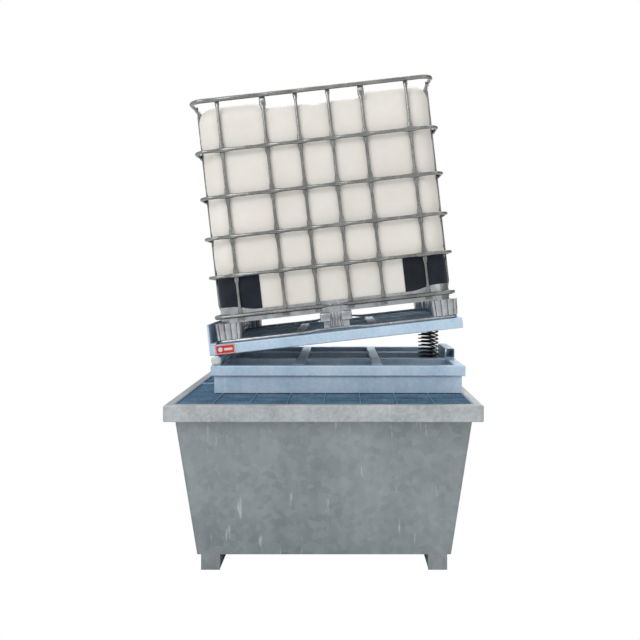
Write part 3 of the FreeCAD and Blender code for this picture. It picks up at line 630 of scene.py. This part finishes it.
# %% The neck and its collar
NECK_R = 80 * MILLI
NECK_RISE = 26 * MILLI
neck = drum("bottle_neck", (CENTRE.x, CENTRE.y, trough_z + NECK_RISE / 2 - 2 * MILLI), NECK_R,
            NECK_RISE + 4 * MILLI, "Z", 64)
pick(neck, "polygons", lambda face: face.normal.z > 0.9)
bpy.ops.mesh.inset(thickness=4 * MILLI)
bpy.ops.mesh.extrude_region_move(TRANSFORM_OT_translate={"value": (0, 0, -18 * MILLI)})
done_editing()
soften(neck, 1.2 * MILLI)
finish(neck, "container", "bottle_plastic")

# %% [markdown]
# ## Corner guards
# A black moulded guard wraps each bottom corner of the bottle. It is a thin curved sheet, so a
# flat grid is wrapped along the corner's plan and then given its thickness. Its top and bottom
# edges are drawn in, with a shallow step, as on the moulding.

# %% Wrapping a grid round a corner
GUARD_REACH = 214 * MILLI
GUARD_BEND = 83.4 * MILLI
GUARD_SHEET = 2.6 * MILLI
GUARD_BULGE = 4 * MILLI


def corner_path(reach, bend, share):
    """Point and outward direction at a share of the way round a corner that lies at the origin,
    its two sides running along +X and +Y."""
    side = reach - bend
    arc = bend * math.pi / 2
    run = share * (2 * side + arc)
    if run < side:
        return Vector((reach - run, 0, 0)), Vector((0, -1, 0))
    if run > side + arc:
        return Vector((0, bend + run - side - arc, 0)), Vector((-1, 0, 0))
    angle = (run - side) / bend
    out = Vector((-math.sin(angle), -math.cos(angle), 0))
    return Vector((bend, bend, 0)) + out * bend, out


guard_low, guard_high = level_box("corner_guard_front_left")
deselect()
bpy.ops.mesh.primitive_grid_add(x_subdivisions=56, y_subdivisions=22, size=2)
guard = named("guard_front_left")
for vertex in guard.data.vertices:
    across = (vertex.co.x + 1) / 2
    up = (vertex.co.y + 1) / 2
    point, out = corner_path(GUARD_REACH, GUARD_BEND, across)
    edge = min(up, 1 - up, across * 1.8, (1 - across) * 1.8)
    bulge = GUARD_BULGE * min(1, edge / 0.3) * min(1, max(0, up - 0.38) / 0.2)
    inset = 0.4 * MILLI * (up < 0.4) - bulge
    vertex.co = Vector((guard_low.x, guard_low.y, guard_low.z + up * (guard_high.z - guard_low.z)))
    vertex.co += point - out * inset
outward(guard)
side_faces = [face for face in guard.data.polygons if face.center.y < guard_low.y + 0.01]
if side_faces[0].normal.y > 0:
    guard.data.flip_normals()
modify(guard, "SOLIDIFY", thickness=GUARD_SHEET, offset=-1.0)
soften(guard, 0.8 * MILLI)
mirror_x = about(CENTRE, Matrix.Scale(-1, 4, (1, 0, 0)))
mirror_y = about(CENTRE, Matrix.Scale(-1, 4, (0, 1, 0)))
guards = {"front_left": guard}
for corner, mirror in (("front_right", mirror_x), ("rear_left", mirror_y),
                       ("rear_right", mirror_x @ mirror_y)):
    guards[corner] = copy_of(guard, "guard_" + corner, mirror)
for corner, piece in guards.items():
    finish(piece, "container", "guard_plastic", ["corner_guard_" + corner])

# %% [markdown]
# ## Cage
# The cage is thin round tube. Where an upright crosses a ring, both are pressed flat and welded,
# so an upright is round, then flat and wider, then round again, all the way up. Growing a tube is
# one habit: start with a circle, extrude it to the next station, and resize it there. A ring is
# four such lengths with a spun bend between each two.

# %% Growing tubes
SIDES = 16


def circle(centre, along, radius, fill):
    """A circle square to an axis, in edit mode and all selected, ready to be grown."""
    deselect()
    bpy.ops.mesh.primitive_circle_add(vertices=SIDES, radius=radius, fill_type=fill,
                                      location=centre, rotation=AXIS_TURN[along])
    piece = settled("tube")
    edit_all()
    return piece


def grow_tube(stations, along, across, through, fill="NGON"):
    """A tube through stations of (centre, half width, half depth); across and through are axes."""
    piece = circle(stations[0][0], along, 1.0, fill)
    was = (stations[0][0], 1.0, 1.0)
    for number, (centre, wide, deep) in enumerate(stations):
        if number:
            bpy.ops.mesh.extrude_region_move(TRANSFORM_OT_translate={"value": centre - was[0]})
        factors = [1.0, 1.0, 1.0]
        factors["XYZ".index(across)] = wide / was[1]
        factors["XYZ".index(through)] = deep / was[2]
        bpy.ops.transform.resize(value=factors, center_override=centre)
        was = (centre, wide, deep)
    done_editing()
    return piece


def spun_bend(start, centre, along, radius, turn):
    """A quarter bend that begins at start and turns about a vertical line through centre."""
    piece = circle(start, along, radius, "NOTHING")
    bpy.ops.mesh.spin(steps=8, angle=turn, center=centre, axis=(0, 0, 1))
    done_editing()
    return piece


def ring(name, low, high, radius, bend, features):
    """A closed tube ring in a box. features maps a side's axis to a list of (place, half flat,
    run-in, width share, depth share, rise), each a change of section."""
    hx, hy = (high.x - low.x) / 2 - radius, (high.y - low.y) / 2 - radius
    middle = (low + high) / 2
    parts = []
    for along, across_out, half, reach in (("X", "Y", hx - bend, hy), ("Y", "X", hy - bend, hx)):
        for side in (-1, 1):
            inward = Vector((0, -side, 0)) if along == "X" else Vector((-side, 0, 0))
            base = middle - inward * reach
            step = Vector((1, 0, 0)) if along == "X" else Vector((0, 1, 0))
            stations = [(base - step * half, radius, radius)]
            for place, flat, run_in, wide, deep, rise in features.get(along, ()):
                shift = inward * radius * (1 - deep) + Vector((0, 0, rise))
                for offset, pressed in ((-flat - run_in, False), (-flat, True), (flat, True),
                                        (flat + run_in, False)):
                    centre = base + step * (place + offset) + (shift if pressed else Vector())
                    stations.append((centre, radius * (wide if pressed else 1),
                                     radius * (deep if pressed else 1)))
            stations.append((base + step * half, radius, radius))
            parts.append(grow_tube(stations, along, "Z", across_out, "NOTHING"))
    for sx, sy in CORNERS:
        corner = middle + Vector((sx * (hx - bend), sy * (hy - bend), 0))
        start = corner + Vector((0, sy * bend, 0))
        parts.append(spun_bend(start, corner, "X", radius, sx * sy * math.pi / 2))
    return outward(join(name, parts))


# %% The four rings of the cage
TUBE_R = 8.5 * MILLI
BEND = 60 * MILLI
FRONT_U = [u * MILLI for u in (-460, -240, -79, 79, 240, 460)]
PRESS = (24 * MILLI, 16 * MILLI, 1.22, 0.6, 0.0)


def changes(section, along_x=(0,), along_y=(0,)):
    """The same change of section at places along the X and the Y sides of a ring."""
    return {"X": [(u, *section) for u in along_x], "Y": [(u, *section) for u in along_y]}


first_low, first_high = level_box(RING_NODES[0])
first = ring("ring_1", first_low, first_high, TUBE_R, BEND, changes(PRESS, FRONT_U, SIDE_U))
rings = [first]
for number, z in enumerate(RING_Z[1:], 2):
    rings.append(copy_of(first, "ring_%d" % number, Matrix.Translation((0, 0, z - RING_Z[0]))))
for piece, node in zip(rings, RING_NODES):
    finish(piece, "container", "cage_zinc", [node])

# %% The top ring, and the pallet's two
DENT = (20 * MILLI, 14 * MILLI, 1.0, 0.86, 0.0)
PINCH = (36 * MILLI, 34 * MILLI, 0.42, 1.15, 0.0)
JOG = (92 * MILLI, 46 * MILLI, 0.8, 1.0, 7 * MILLI)
for name, node, bend, features, slot_name in (
        ("ring_top", "top_ring", BEND, changes(DENT, FRONT_U, SIDE_U), "cage_zinc"),
        ("ring_pallet", "pallet_ring", BEND, changes(PINCH), "cage_zinc"),
        ("runner_tube", "pallet_runner", BEND / 2, changes(JOG), "pallet_zinc")):
    low, high = level_box(node)
    piece = ring(name, low, high, (high.z - low.z) / 2, bend, features)
    finish(piece, "container", slot_name, [node])

# %% [markdown]
# An upright starts as a wide flat foot on the pallet's edge, draws in to round tube, is pressed
# flat at every ring, and ends in a flat tab behind the top ring. The two that carry the top bars
# flare into a longer tab, which takes the bolt.

# %% Uprights
UPRIGHT_W = 7.0 * MILLI
TAB_HALF = 2.5 * MILLI
BAR_X = 0.24                             # the two uprights each side of the middle that carry a bar
post_low, post_high = level_box("front_uprights")
top_low, top_high = level_box("top_ring")
pallet_low, pallet_high = level_box("pallet_ring")
contact = first_low.y + 2 * TUBE_R       # plane in which the front's rings and uprights meet
tube_y = contact + TUBE_R
foot_y = pallet_low.y + (pallet_high.z - pallet_low.z) + TAB_HALF
tab_y = top_low.y + (top_high.z - top_low.z) + TAB_HALF


def upright(flare):
    """An upright of the front, at the cage's middle."""
    def at(y, z):
        return Vector((CENTRE.x, y, z))
    stations = [(at(foot_y, post_low.z), 18 * MILLI, TAB_HALF),
                (at(foot_y, post_low.z + 0.018), 15 * MILLI, TAB_HALF),
                (at(foot_y + MILLI, post_low.z + 0.05), 10.5 * MILLI, 3.6 * MILLI),
                (at(tube_y, post_low.z + 0.078), UPRIGHT_W, TUBE_R)]
    for z in RING_Z:
        flat = TUBE_R * 0.6
        for offset, wide, deep in ((-0.046, UPRIGHT_W, TUBE_R), (-0.026, 11.5 * MILLI, flat),
                                   (0.026, 11.5 * MILLI, flat), (0.046, UPRIGHT_W, TUBE_R)):
            stations.append((at(contact + deep, z + offset), wide, deep))
    flare_start = post_high.z - (0.078 if flare else 0.05)
    tab_wide = (16 if flare else 11) * MILLI
    stations += [(at(tube_y, flare_start), UPRIGHT_W, TUBE_R),
                 (at(tab_y, flare_start + 0.026), tab_wide, TAB_HALF),
                 (at(tab_y, post_high.z - 0.026), tab_wide, TAB_HALF),
                 (at(tab_y, post_high.z), 11 * MILLI, TAB_HALF)]
    return outward(grow_tube(stations, "Z", "X", "Y"))


plain_post = upright(False)
bolted_post = upright(True)
half_x = CENTRE.x - first_low.x
half_y = CENTRE.y - first_low.y


def face_matrix(quarter, u):
    """From the middle of the front face to a place on the face a number of quarter turns on."""
    out = half_x if quarter % 2 else half_y
    slide = Matrix.Translation((u, half_y - out, 0))
    return turned(quarter * math.pi / 2, CENTRE) @ slide


for quarter, side in enumerate(("front", "right", "rear", "left")):
    posts = []
    for u in (SIDE_U if quarter % 2 else FRONT_U):
        model = bolted_post if not quarter % 2 and abs(abs(u) - BAR_X) < MILLI else plain_post
        posts.append(copy_of(model, "post_copy", face_matrix(quarter, u)))
    finish(join("uprights_" + side, posts), "container", "cage_zinc", [side + "_uprights"])

# %% Weld nuggets where the tubes cross
deselect()
bpy.ops.mesh.primitive_ico_sphere_add(subdivisions=2, radius=1, location=(0, 0, 0))
nugget = named("nugget")
NUGGET_SIZE = Matrix.Diagonal((4 * MILLI, 2.6 * MILLI, 3 * MILLI, 1))
nuggets = []
for quarter in range(4):
    for u in (SIDE_U if quarter % 2 else FRONT_U):
        for z in RING_Z:
            for side in (-1, 1):
                place = Matrix.Translation((CENTRE.x + side * 8.5 * MILLI, contact - MILLI,
                                            z + 6.5 * MILLI))
                matrix = face_matrix(quarter, u) @ place @ NUGGET_SIZE
                nuggets.append(copy_of(nugget, "nugget_copy", matrix))
finish(join("cage_welds", nuggets), "container", "cage_zinc")
for spare in (plain_post, bolted_post, nugget):
    bpy.data.objects.remove(spare)

# %% [markdown]
# ## Top bars and their bolts
# Two bars cross the bottle's trough and stop it bulging upwards. Each end is pressed flat, turned
# up and bolted to an upright with a round-headed bolt.

# %% Top bars
bar_low, bar_high = level_box("top_bars")
BAR_R = 9 * MILLI
bolt_low, bolt_high = level_box("top_bar_bolts")
bolt_z = (bolt_low.z + bolt_high.z) / 2
bars = []
for side in (-1, 1):
    x = CENTRE.x + side * BAR_X
    z = bar_low.z + BAR_R
    half = []
    for y, wide, deep in ((0.0, BAR_R, BAR_R), (0.40, BAR_R, BAR_R),
                          (0.43, 10.5 * MILLI, 5 * MILLI), (0.458, 11 * MILLI, 3 * MILLI)):
        half.append((Vector((x, CENTRE.y + y, z)), wide, deep))
    mirrored = [(Vector((x, 2 * CENTRE.y - c.y, c.z)), w, d) for c, w, d in reversed(half[1:])]
    bars.append(outward(grow_tube(mirrored + half, "Y", "X", "Z")))
    for end in (-1, 1):
        y = CENTRE.y + end * (bar_high.y - CENTRE.y - TAB_HALF)
        tab = block("tab", (x - 11 * MILLI, y - TAB_HALF, z - 4 * MILLI),
                    (x + 11 * MILLI, y + TAB_HALF, bar_high.z))
        bars.append(soften(tab, 1.5 * MILLI))
finish(join("top_bar_pair", bars), "container", "cage_zinc", ["top_bars"])

# %% Bolts
bolts = []
for side_x, side_y in CORNERS:
    x = CENTRE.x + side_x * BAR_X
    out = bolt_low.y if side_y < 0 else bolt_high.y
    head = drum("head", (x, out - side_y * 2.4 * MILLI, bolt_z), 7.5 * MILLI, 4.6 * MILLI, "Y", 32)
    soften(head, 2 * MILLI, 3)
    washer = drum("washer", (x, out - side_y * 5.4 * MILLI, bolt_z), 9.5 * MILLI, 1.4 * MILLI,
                  "Y", 32)
    soften(washer, 0.4 * MILLI)
    inside = CENTRE.y + side_y * (CENTRE.y - bolt_low.y - 0.018)
    nut = drum("nut", (x, inside, bolt_z), 7.5 * MILLI, 6.5 * MILLI, "Y", 6)
    soften(nut, 0.7 * MILLI)
    bolts += [head, washer, nut]
finish(join("top_bolts", bolts), "container", "bolt_steel", ["top_bar_bolts"])

# %% [markdown]
# ## Pallet
# The pan's edge is low along the sides and sweeps up at each corner, like a scoop, to hold the
# bottle. The feet are pressed from bright strip. Those at the corners have round vertical flutes,
# and those in the middle have two stepped lobes with a ribbed web between them.

# %% A path round a rounded rectangle
def rounded_path(share, half_x, half_y, bend):
    """Point and outward direction at a share of the way round, starting at the middle of +X."""
    flat_x, flat_y = half_x - bend, half_y - bend
    arc = bend * math.pi / 2
    runs = (flat_y, arc, 2 * flat_x, arc, 2 * flat_y, arc, 2 * flat_x, arc, flat_y)
    run = share % 1.0 * sum(runs)
    for number, length in enumerate(runs):
        if run <= length or number == len(runs) - 1:
            break
        run -= length
    quarter = (number + 1) // 2 % 4
    out = Vector((1, 0, 0))
    if number % 2:
        out.rotate(Matrix.Rotation((number - 1) / 2 * math.pi / 2 + run / bend, 3, "Z"))
        signs = ((1, 1), (-1, 1), (-1, -1), (1, -1))[(number - 1) // 2]
        return Vector((signs[0] * flat_x, signs[1] * flat_y, 0)) + out * bend, out
    out.rotate(Matrix.Rotation(quarter * math.pi / 2, 3, "Z"))
    along = Vector((-out.y, out.x, 0))
    reach = half_x if quarter % 2 == 0 else half_y
    flat = flat_y if quarter % 2 == 0 else flat_x
    start = 0.0 if number == 0 else -flat
    return out * reach + along * (start + run), out


# %% Pan
pan_low, pan_high = level_box("pallet_pan")
PAN_BEND = 86 * MILLI
PAN_SHEET = 3 * MILLI
EDGE_LOW = 56 * MILLI
pan_x, pan_y = (pan_high.x - pan_low.x) / 2, (pan_high.y - pan_low.y) / 2
deselect()
bpy.ops.mesh.primitive_grid_add(x_subdivisions=240, y_subdivisions=6, size=2)
pan = named("pan")
for vertex in pan.data.vertices:
    point, out = rounded_path((vertex.co.x + 1) / 2, pan_x, pan_y, PAN_BEND)
    up = (vertex.co.y + 1) / 2
    reach = max(pan_x - abs(point.x), pan_y - abs(point.y))
    lift = min(1.0, max(0.0, (0.19 - reach) / 0.12))
    top = EDGE_LOW + (pan_high.z - pan_low.z - EDGE_LOW) * lift * lift * (3 - 2 * lift)
    vertex.co = Vector((CENTRE.x, CENTRE.y, pan_low.z + up * top)) + point
outward(pan)
modify(pan, "SOLIDIFY", thickness=PAN_SHEET, offset=-1.0, use_quality_normals=True)
outward(pan)
tray = block("tray", (pan_low.x + MILLI, pan_low.y + MILLI, pan_low.z),
             (pan_high.x - MILLI, pan_high.y - MILLI, pan_low.z + PAN_SHEET))
bevel_edges(tray, lambda run, middle: abs(run.z) > 0.5 * PAN_SHEET and abs(run.x) < MILLI
            and abs(run.y) < MILLI, PAN_BEND, 10)
finish(join("pan", [pan, tray]), "container", "pallet_zinc", ["pallet_pan"])

# %% Corner feet
feet_low, feet_high = level_box("corner_feet")
FOOT = 135 * MILLI
FLUTES = 16
TAPER = 4.5 * MILLI
GROOVE = 7 * MILLI
OVAL = 1.5                               # height of a foot's hole to its width
hole_z = feet_low.z + 36 * MILLI
foot = drum("foot", (0, 0, (feet_low.z + feet_high.z) / 2), 1.0, feet_high.z - feet_low.z, "Z", 384)
for vertex in foot.data.vertices:
    share = math.atan2(vertex.co.y, vertex.co.x) / (2 * math.pi)
    low_end = vertex.co.z < (feet_low.z + feet_high.z) / 2
    half = FOOT / 2 - (TAPER if low_end else 0)
    point, out = rounded_path(share, half, half, 26 * MILLI)
    groove = GROOVE * (1 - abs(math.cos(math.pi * FLUTES * share)) ** 0.6)
    vertex.co = Vector((0, 0, vertex.co.z)) + point - out * groove
feet = []
for sx, sy in CORNERS:
    x = CENTRE.x + sx * (feet_high.x - CENTRE.x - FOOT / 2)
    y = CENTRE.y + sy * (feet_high.y - CENTRE.y - FOOT / 2)
    place = Matrix.Translation((x, y, 0))
    one = copy_of(foot, "foot_copy", place)
    hole = drum("cutter", (0.071, 0, hole_z), 11 * MILLI, 0.05, "X", 32)
    for vertex in hole.data.vertices:
        vertex.co.z = (vertex.co.z - hole_z) * OVAL + hole_z
    hole.data.transform(place @ Matrix.Rotation(math.atan2(sy * 0.75, sx), 4, "Z"))
    feet.append(cut_out(one, hole))
bpy.data.objects.remove(foot)
finish(join("feet_corner", feet), "container", "pallet_zinc", ["corner_feet"])

# %% Middle feet
mid_low, mid_high = level_box("middle_feet")
LOBES = 155 * MILLI
LOBE_DEPTH = 100 * MILLI
half_w, half_d = LOBES / 2, LOBE_DEPTH / 2
height = mid_high.z - mid_low.z
parts = []
for side in (-1, 1):
    for inner, outer_x, low_z, high_z, depth in (
            (0.026, half_w, 0.40, 1.0, half_d),
            (0.029, half_w - 0.013, 0.0, 0.46, half_d - 0.005)):
        x0, x1 = sorted((side * inner, side * outer_x))
        lobe = block("lobe", (x0, -depth, mid_low.z + low_z * height),
                     (x1, depth, mid_low.z + high_z * height))
        parts.append(soften(lobe, 7 * MILLI, 3))
WEB_IN = 20 * MILLI                      # how far the web stands back from the lobes
web = block("web", (-0.03, WEB_IN - half_d, mid_low.z), (0.03, half_d - WEB_IN, mid_high.z))
parts.append(web)
for x in (-0.016, 0.0, 0.016):
    for end in (-1, 1):
        rib = drum("rib", (x, end * (half_d - WEB_IN), (mid_low.z + mid_high.z) / 2 - MILLI),
                   6 * MILLI, height - 4 * MILLI, "Z", 20)
        parts.append(soften(rib, 1.5 * MILLI))
model = join("foot_middle", parts)
copies = []
for quarter in range(4):
    reach = (mid_high.x - CENTRE.x if quarter % 2 else mid_high.y - CENTRE.y) - half_d
    copies.append(copy_of(model, "foot_copy", Matrix.Translation((CENTRE.x, CENTRE.y, 0))
                          @ Matrix.Rotation(quarter * math.pi / 2, 4, "Z")
                          @ Matrix.Translation((0, -reach, 0))))
copies.append(copy_of(model, "foot_copy", Matrix.Translation((CENTRE.x, CENTRE.y, 0))))
bpy.data.objects.remove(model)
finish(join("feet_middle", copies), "container", "pallet_zinc", ["middle_feet"])

# %% [markdown]
# ## Small fittings
# Hinge ends, the marker plate's border, the two springs, bolts on the pallet's ring, grips on the
# lid and cap, slats in the grating, and the weld beads of a welded sump and stand.

# %% Hinge ends
caps_low, caps_high = level_box("hinge_pin_caps")
hinge = (caps_low + caps_high) / 2
ends = []
for side, face in ((-1, caps_low.y), (1, caps_high.y)):
    end = drum("hinge_end", (hinge.x, face - side * 3 * MILLI, hinge.z), 18 * MILLI, 6 * MILLI, "Y")
    ends.append(soften(end, 1.6 * MILLI, 3))
    boss = drum("hinge_boss", (hinge.x, face - side * 4.4 * MILLI, hinge.z), 21.5 * MILLI,
                3.2 * MILLI, "Y")
    ends.append(soften(boss, 0.6 * MILLI))
finish(join("hinge_ends", ends), "sump", "pin_steel", ["hinge_pin_caps"], level=False)

# %% Marker plate
plate_low, plate_high = level_box("marker_plate")
BORDER = 4 * MILLI
PROUD = 0.25 * MILLI
MARGIN = 2 * MILLI
frame_out = block("marker_border",
                  (plate_low.x + MARGIN, plate_low.y - PROUD, plate_low.z + MARGIN),
                  (plate_high.x - MARGIN, plate_low.y + PROUD, plate_high.z - MARGIN))
frame_in = block("cutter", (plate_low.x + BORDER, plate_low.y - 1, plate_low.z + BORDER),
                 (plate_high.x - BORDER, plate_low.y + 1, plate_high.z - BORDER))
cut_out(frame_out, frame_in)
middle = (plate_low + plate_high) / 2
disc = drum("marker_disc", (plate_low.x + 0.024, plate_low.y, middle.z), 11 * MILLI, 2 * PROUD,
            "Y", 32)
strip = block("marker_strip", (plate_low.x + 0.042, plate_low.y - PROUD, middle.z - 6 * MILLI),
              (plate_high.x - 0.012, plate_low.y + PROUD, middle.z + 6 * MILLI))
finish(join("marker_signs", [frame_out, disc, strip]), "platform", "bottle_plastic")

# %% Springs
# Each spring is a coiled wire with a closed ring at both ends. It stands on its lower seat and is as
# tall as the room that is left under the upper seat where the platform rests.
WIRE = 3.8 * MILLI
COIL = 43 * MILLI
TURNS = 14
for node in ("spring_front", "spring_rear"):
    low, high = rest_box(node)
    foot_at = Vector(((low.x + high.x) / 2, (low.y + high.y) / 2, low.z))
    rise = high.z - low.z - 2 * WIRE
    deselect()
    bpy.ops.mesh.primitive_circle_add(vertices=12, radius=WIRE, location=(COIL, 0, WIRE),
                                      rotation=(math.pi / 2, 0, 0))
    coil = settled("coil_" + node)
    modify(coil, "SCREW", axis="Z", angle=2 * math.pi, screw_offset=rise / TURNS, iterations=TURNS,
           steps=28, render_steps=28)
    edit_all()
    bpy.ops.mesh.fill_holes(sides=16)
    done_editing()
    coil.data.transform(Matrix.Translation(foot_at))
    turns = [outward(coil)]
    for z in (low.z + WIRE, high.z - WIRE):
        deselect()
        bpy.ops.mesh.primitive_torus_add(major_radius=COIL, minor_radius=WIRE, major_segments=48,
                                         minor_segments=12, location=(foot_at.x, foot_at.y, z))
        turns.append(settled("end_ring"))
    piece = finish(join("coil_" + node, turns), "sump", "spring_steel", [node], level=False)
    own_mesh(piece)

# %% Bolts under the middle of each side of the pallet's ring
ring_z = (pallet_low.z + pallet_high.z) / 2
small = []
for quarter in range(4):
    reach = half_x if quarter % 2 else half_y
    for u in (-0.02, 0.02):
        head = drum("head", (0, 0, 0), 7 * MILLI, 5 * MILLI, "Z", 6)
        soften(head, 0.8 * MILLI)
        place = Matrix.Translation((CENTRE.x + u, CENTRE.y - reach + 0.015, ring_z + 6 * MILLI))
        head.data.transform(turned(quarter * math.pi / 2, CENTRE) @ place)
        small.append(head)
finish(join("pallet_bolts", small), "container", "bolt_steel")

# %% Grips on the lid and the outlet cap
lid_low, lid_high = level_box("lid")
cap_low, cap_high = level_box("outlet_cap")
grips = []
LID_GRIPS = 36
CAP_GRIPS = 24
lid_reach = (lid_high.x - lid_low.x) / 2
for number in range(LID_GRIPS):
    angle = 2 * math.pi * number / LID_GRIPS
    grip = drum("grip", (CENTRE.x + lid_reach, CENTRE.y, (lid_low.z + lid_high.z) / 2 - MILLI),
                2.4 * MILLI, lid_high.z - lid_low.z - 6 * MILLI, "Z", 10)
    grip.data.transform(turned(angle, CENTRE))
    grips.append(grip)
finish(join("lid_grips", grips), "lid", "cap_plastic")
cap_middle = (cap_low + cap_high) / 2
cap_reach = (cap_high.y - cap_low.y) / 2
grips = []
for number in range(CAP_GRIPS):
    grip = drum("grip", (cap_middle.x + MILLI, cap_middle.y + cap_reach, cap_middle.z), 1.4 * MILLI,
                cap_high.x - cap_low.x - 5 * MILLI, "X", 10)
    turn = Matrix.Rotation(2 * math.pi * number / CAP_GRIPS, 4, "X")
    grip.data.transform(about(cap_middle, turn))
    grips.append(grip)
finish(join("cap_grips", grips), "outlet_cap", "cap_plastic")

# %% Slats of the grating
# Between the bearing bars of the engineering model lie the thin slats that make it a grating.
SLATS = 3
CELL_ROWS = 5
slats = []
for node in ("grating_front", "grating_rear"):
    low, high = rest_box(node)
    pitch = (high.y - low.y) / (CELL_ROWS * SLATS)
    for number in range(CELL_ROWS * SLATS):
        if number % SLATS:
            y = low.y + number * pitch + 1.5 * MILLI
            slats.append(block("slat", (low.x + MILLI, y, high.z - 25 * MILLI),
                               (high.x - MILLI, y + 2.5 * MILLI, high.z - 1.5 * MILLI)))
finish(join("grating_slats", slats), "sump", "grating_zinc", level=False)

# %% Weld beads on the tub and the rims
BEAD = 3.2 * MILLI
RIM_TUBE = 50 * MILLI


def bead(start, end, radius=BEAD):
    """A ribbed weld bead from start to end, half of it sunk in the joint."""
    start, end = Vector(start), Vector(end)
    run = end - start
    weld = drum("bead", (0, 0, run.length / 2), radius, run.length, "Z", 10)
    pick(weld, "edges", lambda edge: abs(edge_run(weld, edge)[0].z) > run.length / 2)
    bpy.ops.mesh.subdivide(number_cuts=max(8, int(run.length / (4 * MILLI))))
    done_editing()
    for vertex in weld.data.vertices:
        if MILLI < vertex.co.z < run.length - MILLI:
            swell = 0.9 + 0.1 * math.sin(vertex.co.z / (2.4 * MILLI))
            vertex.co.x *= swell
            vertex.co.y *= swell
    turn = run.to_track_quat("Z", "Y").to_matrix().to_4x4()
    weld.data.transform(Matrix.Translation(start) @ turn)
    return weld


wall_low, wall_high = rest_box("tub_front_wall")
bottom = rest_box("tub_floor")[1].x - MILLI
top = -wall_low.y - MILLI
beads = []
for sx, sy in CORNERS:
    beads.append(bead((sx * bottom, sy * bottom, wall_low.z + MILLI),
                      (sx * top, sy * top, wall_high.z - MILLI)))
finish(join("tub_welds", beads), "sump", "galvanised_tub", level=False)
beads = []
rim_low, rim_high = rest_box("base_rim")
for sx in (rim_low.x + RIM_TUBE, rim_high.x - RIM_TUBE):
    for y0, y1 in ((rim_low.y + 4 * MILLI, rim_low.y + RIM_TUBE),
                   (rim_high.y - RIM_TUBE, rim_high.y - 4 * MILLI)):
        beads.append(bead((sx, y0, rim_high.z - MILLI), (sx, y1, rim_high.z - MILLI), 2.2 * MILLI))
finish(join("base_welds", beads), "sump", "stand_zinc", level=False)
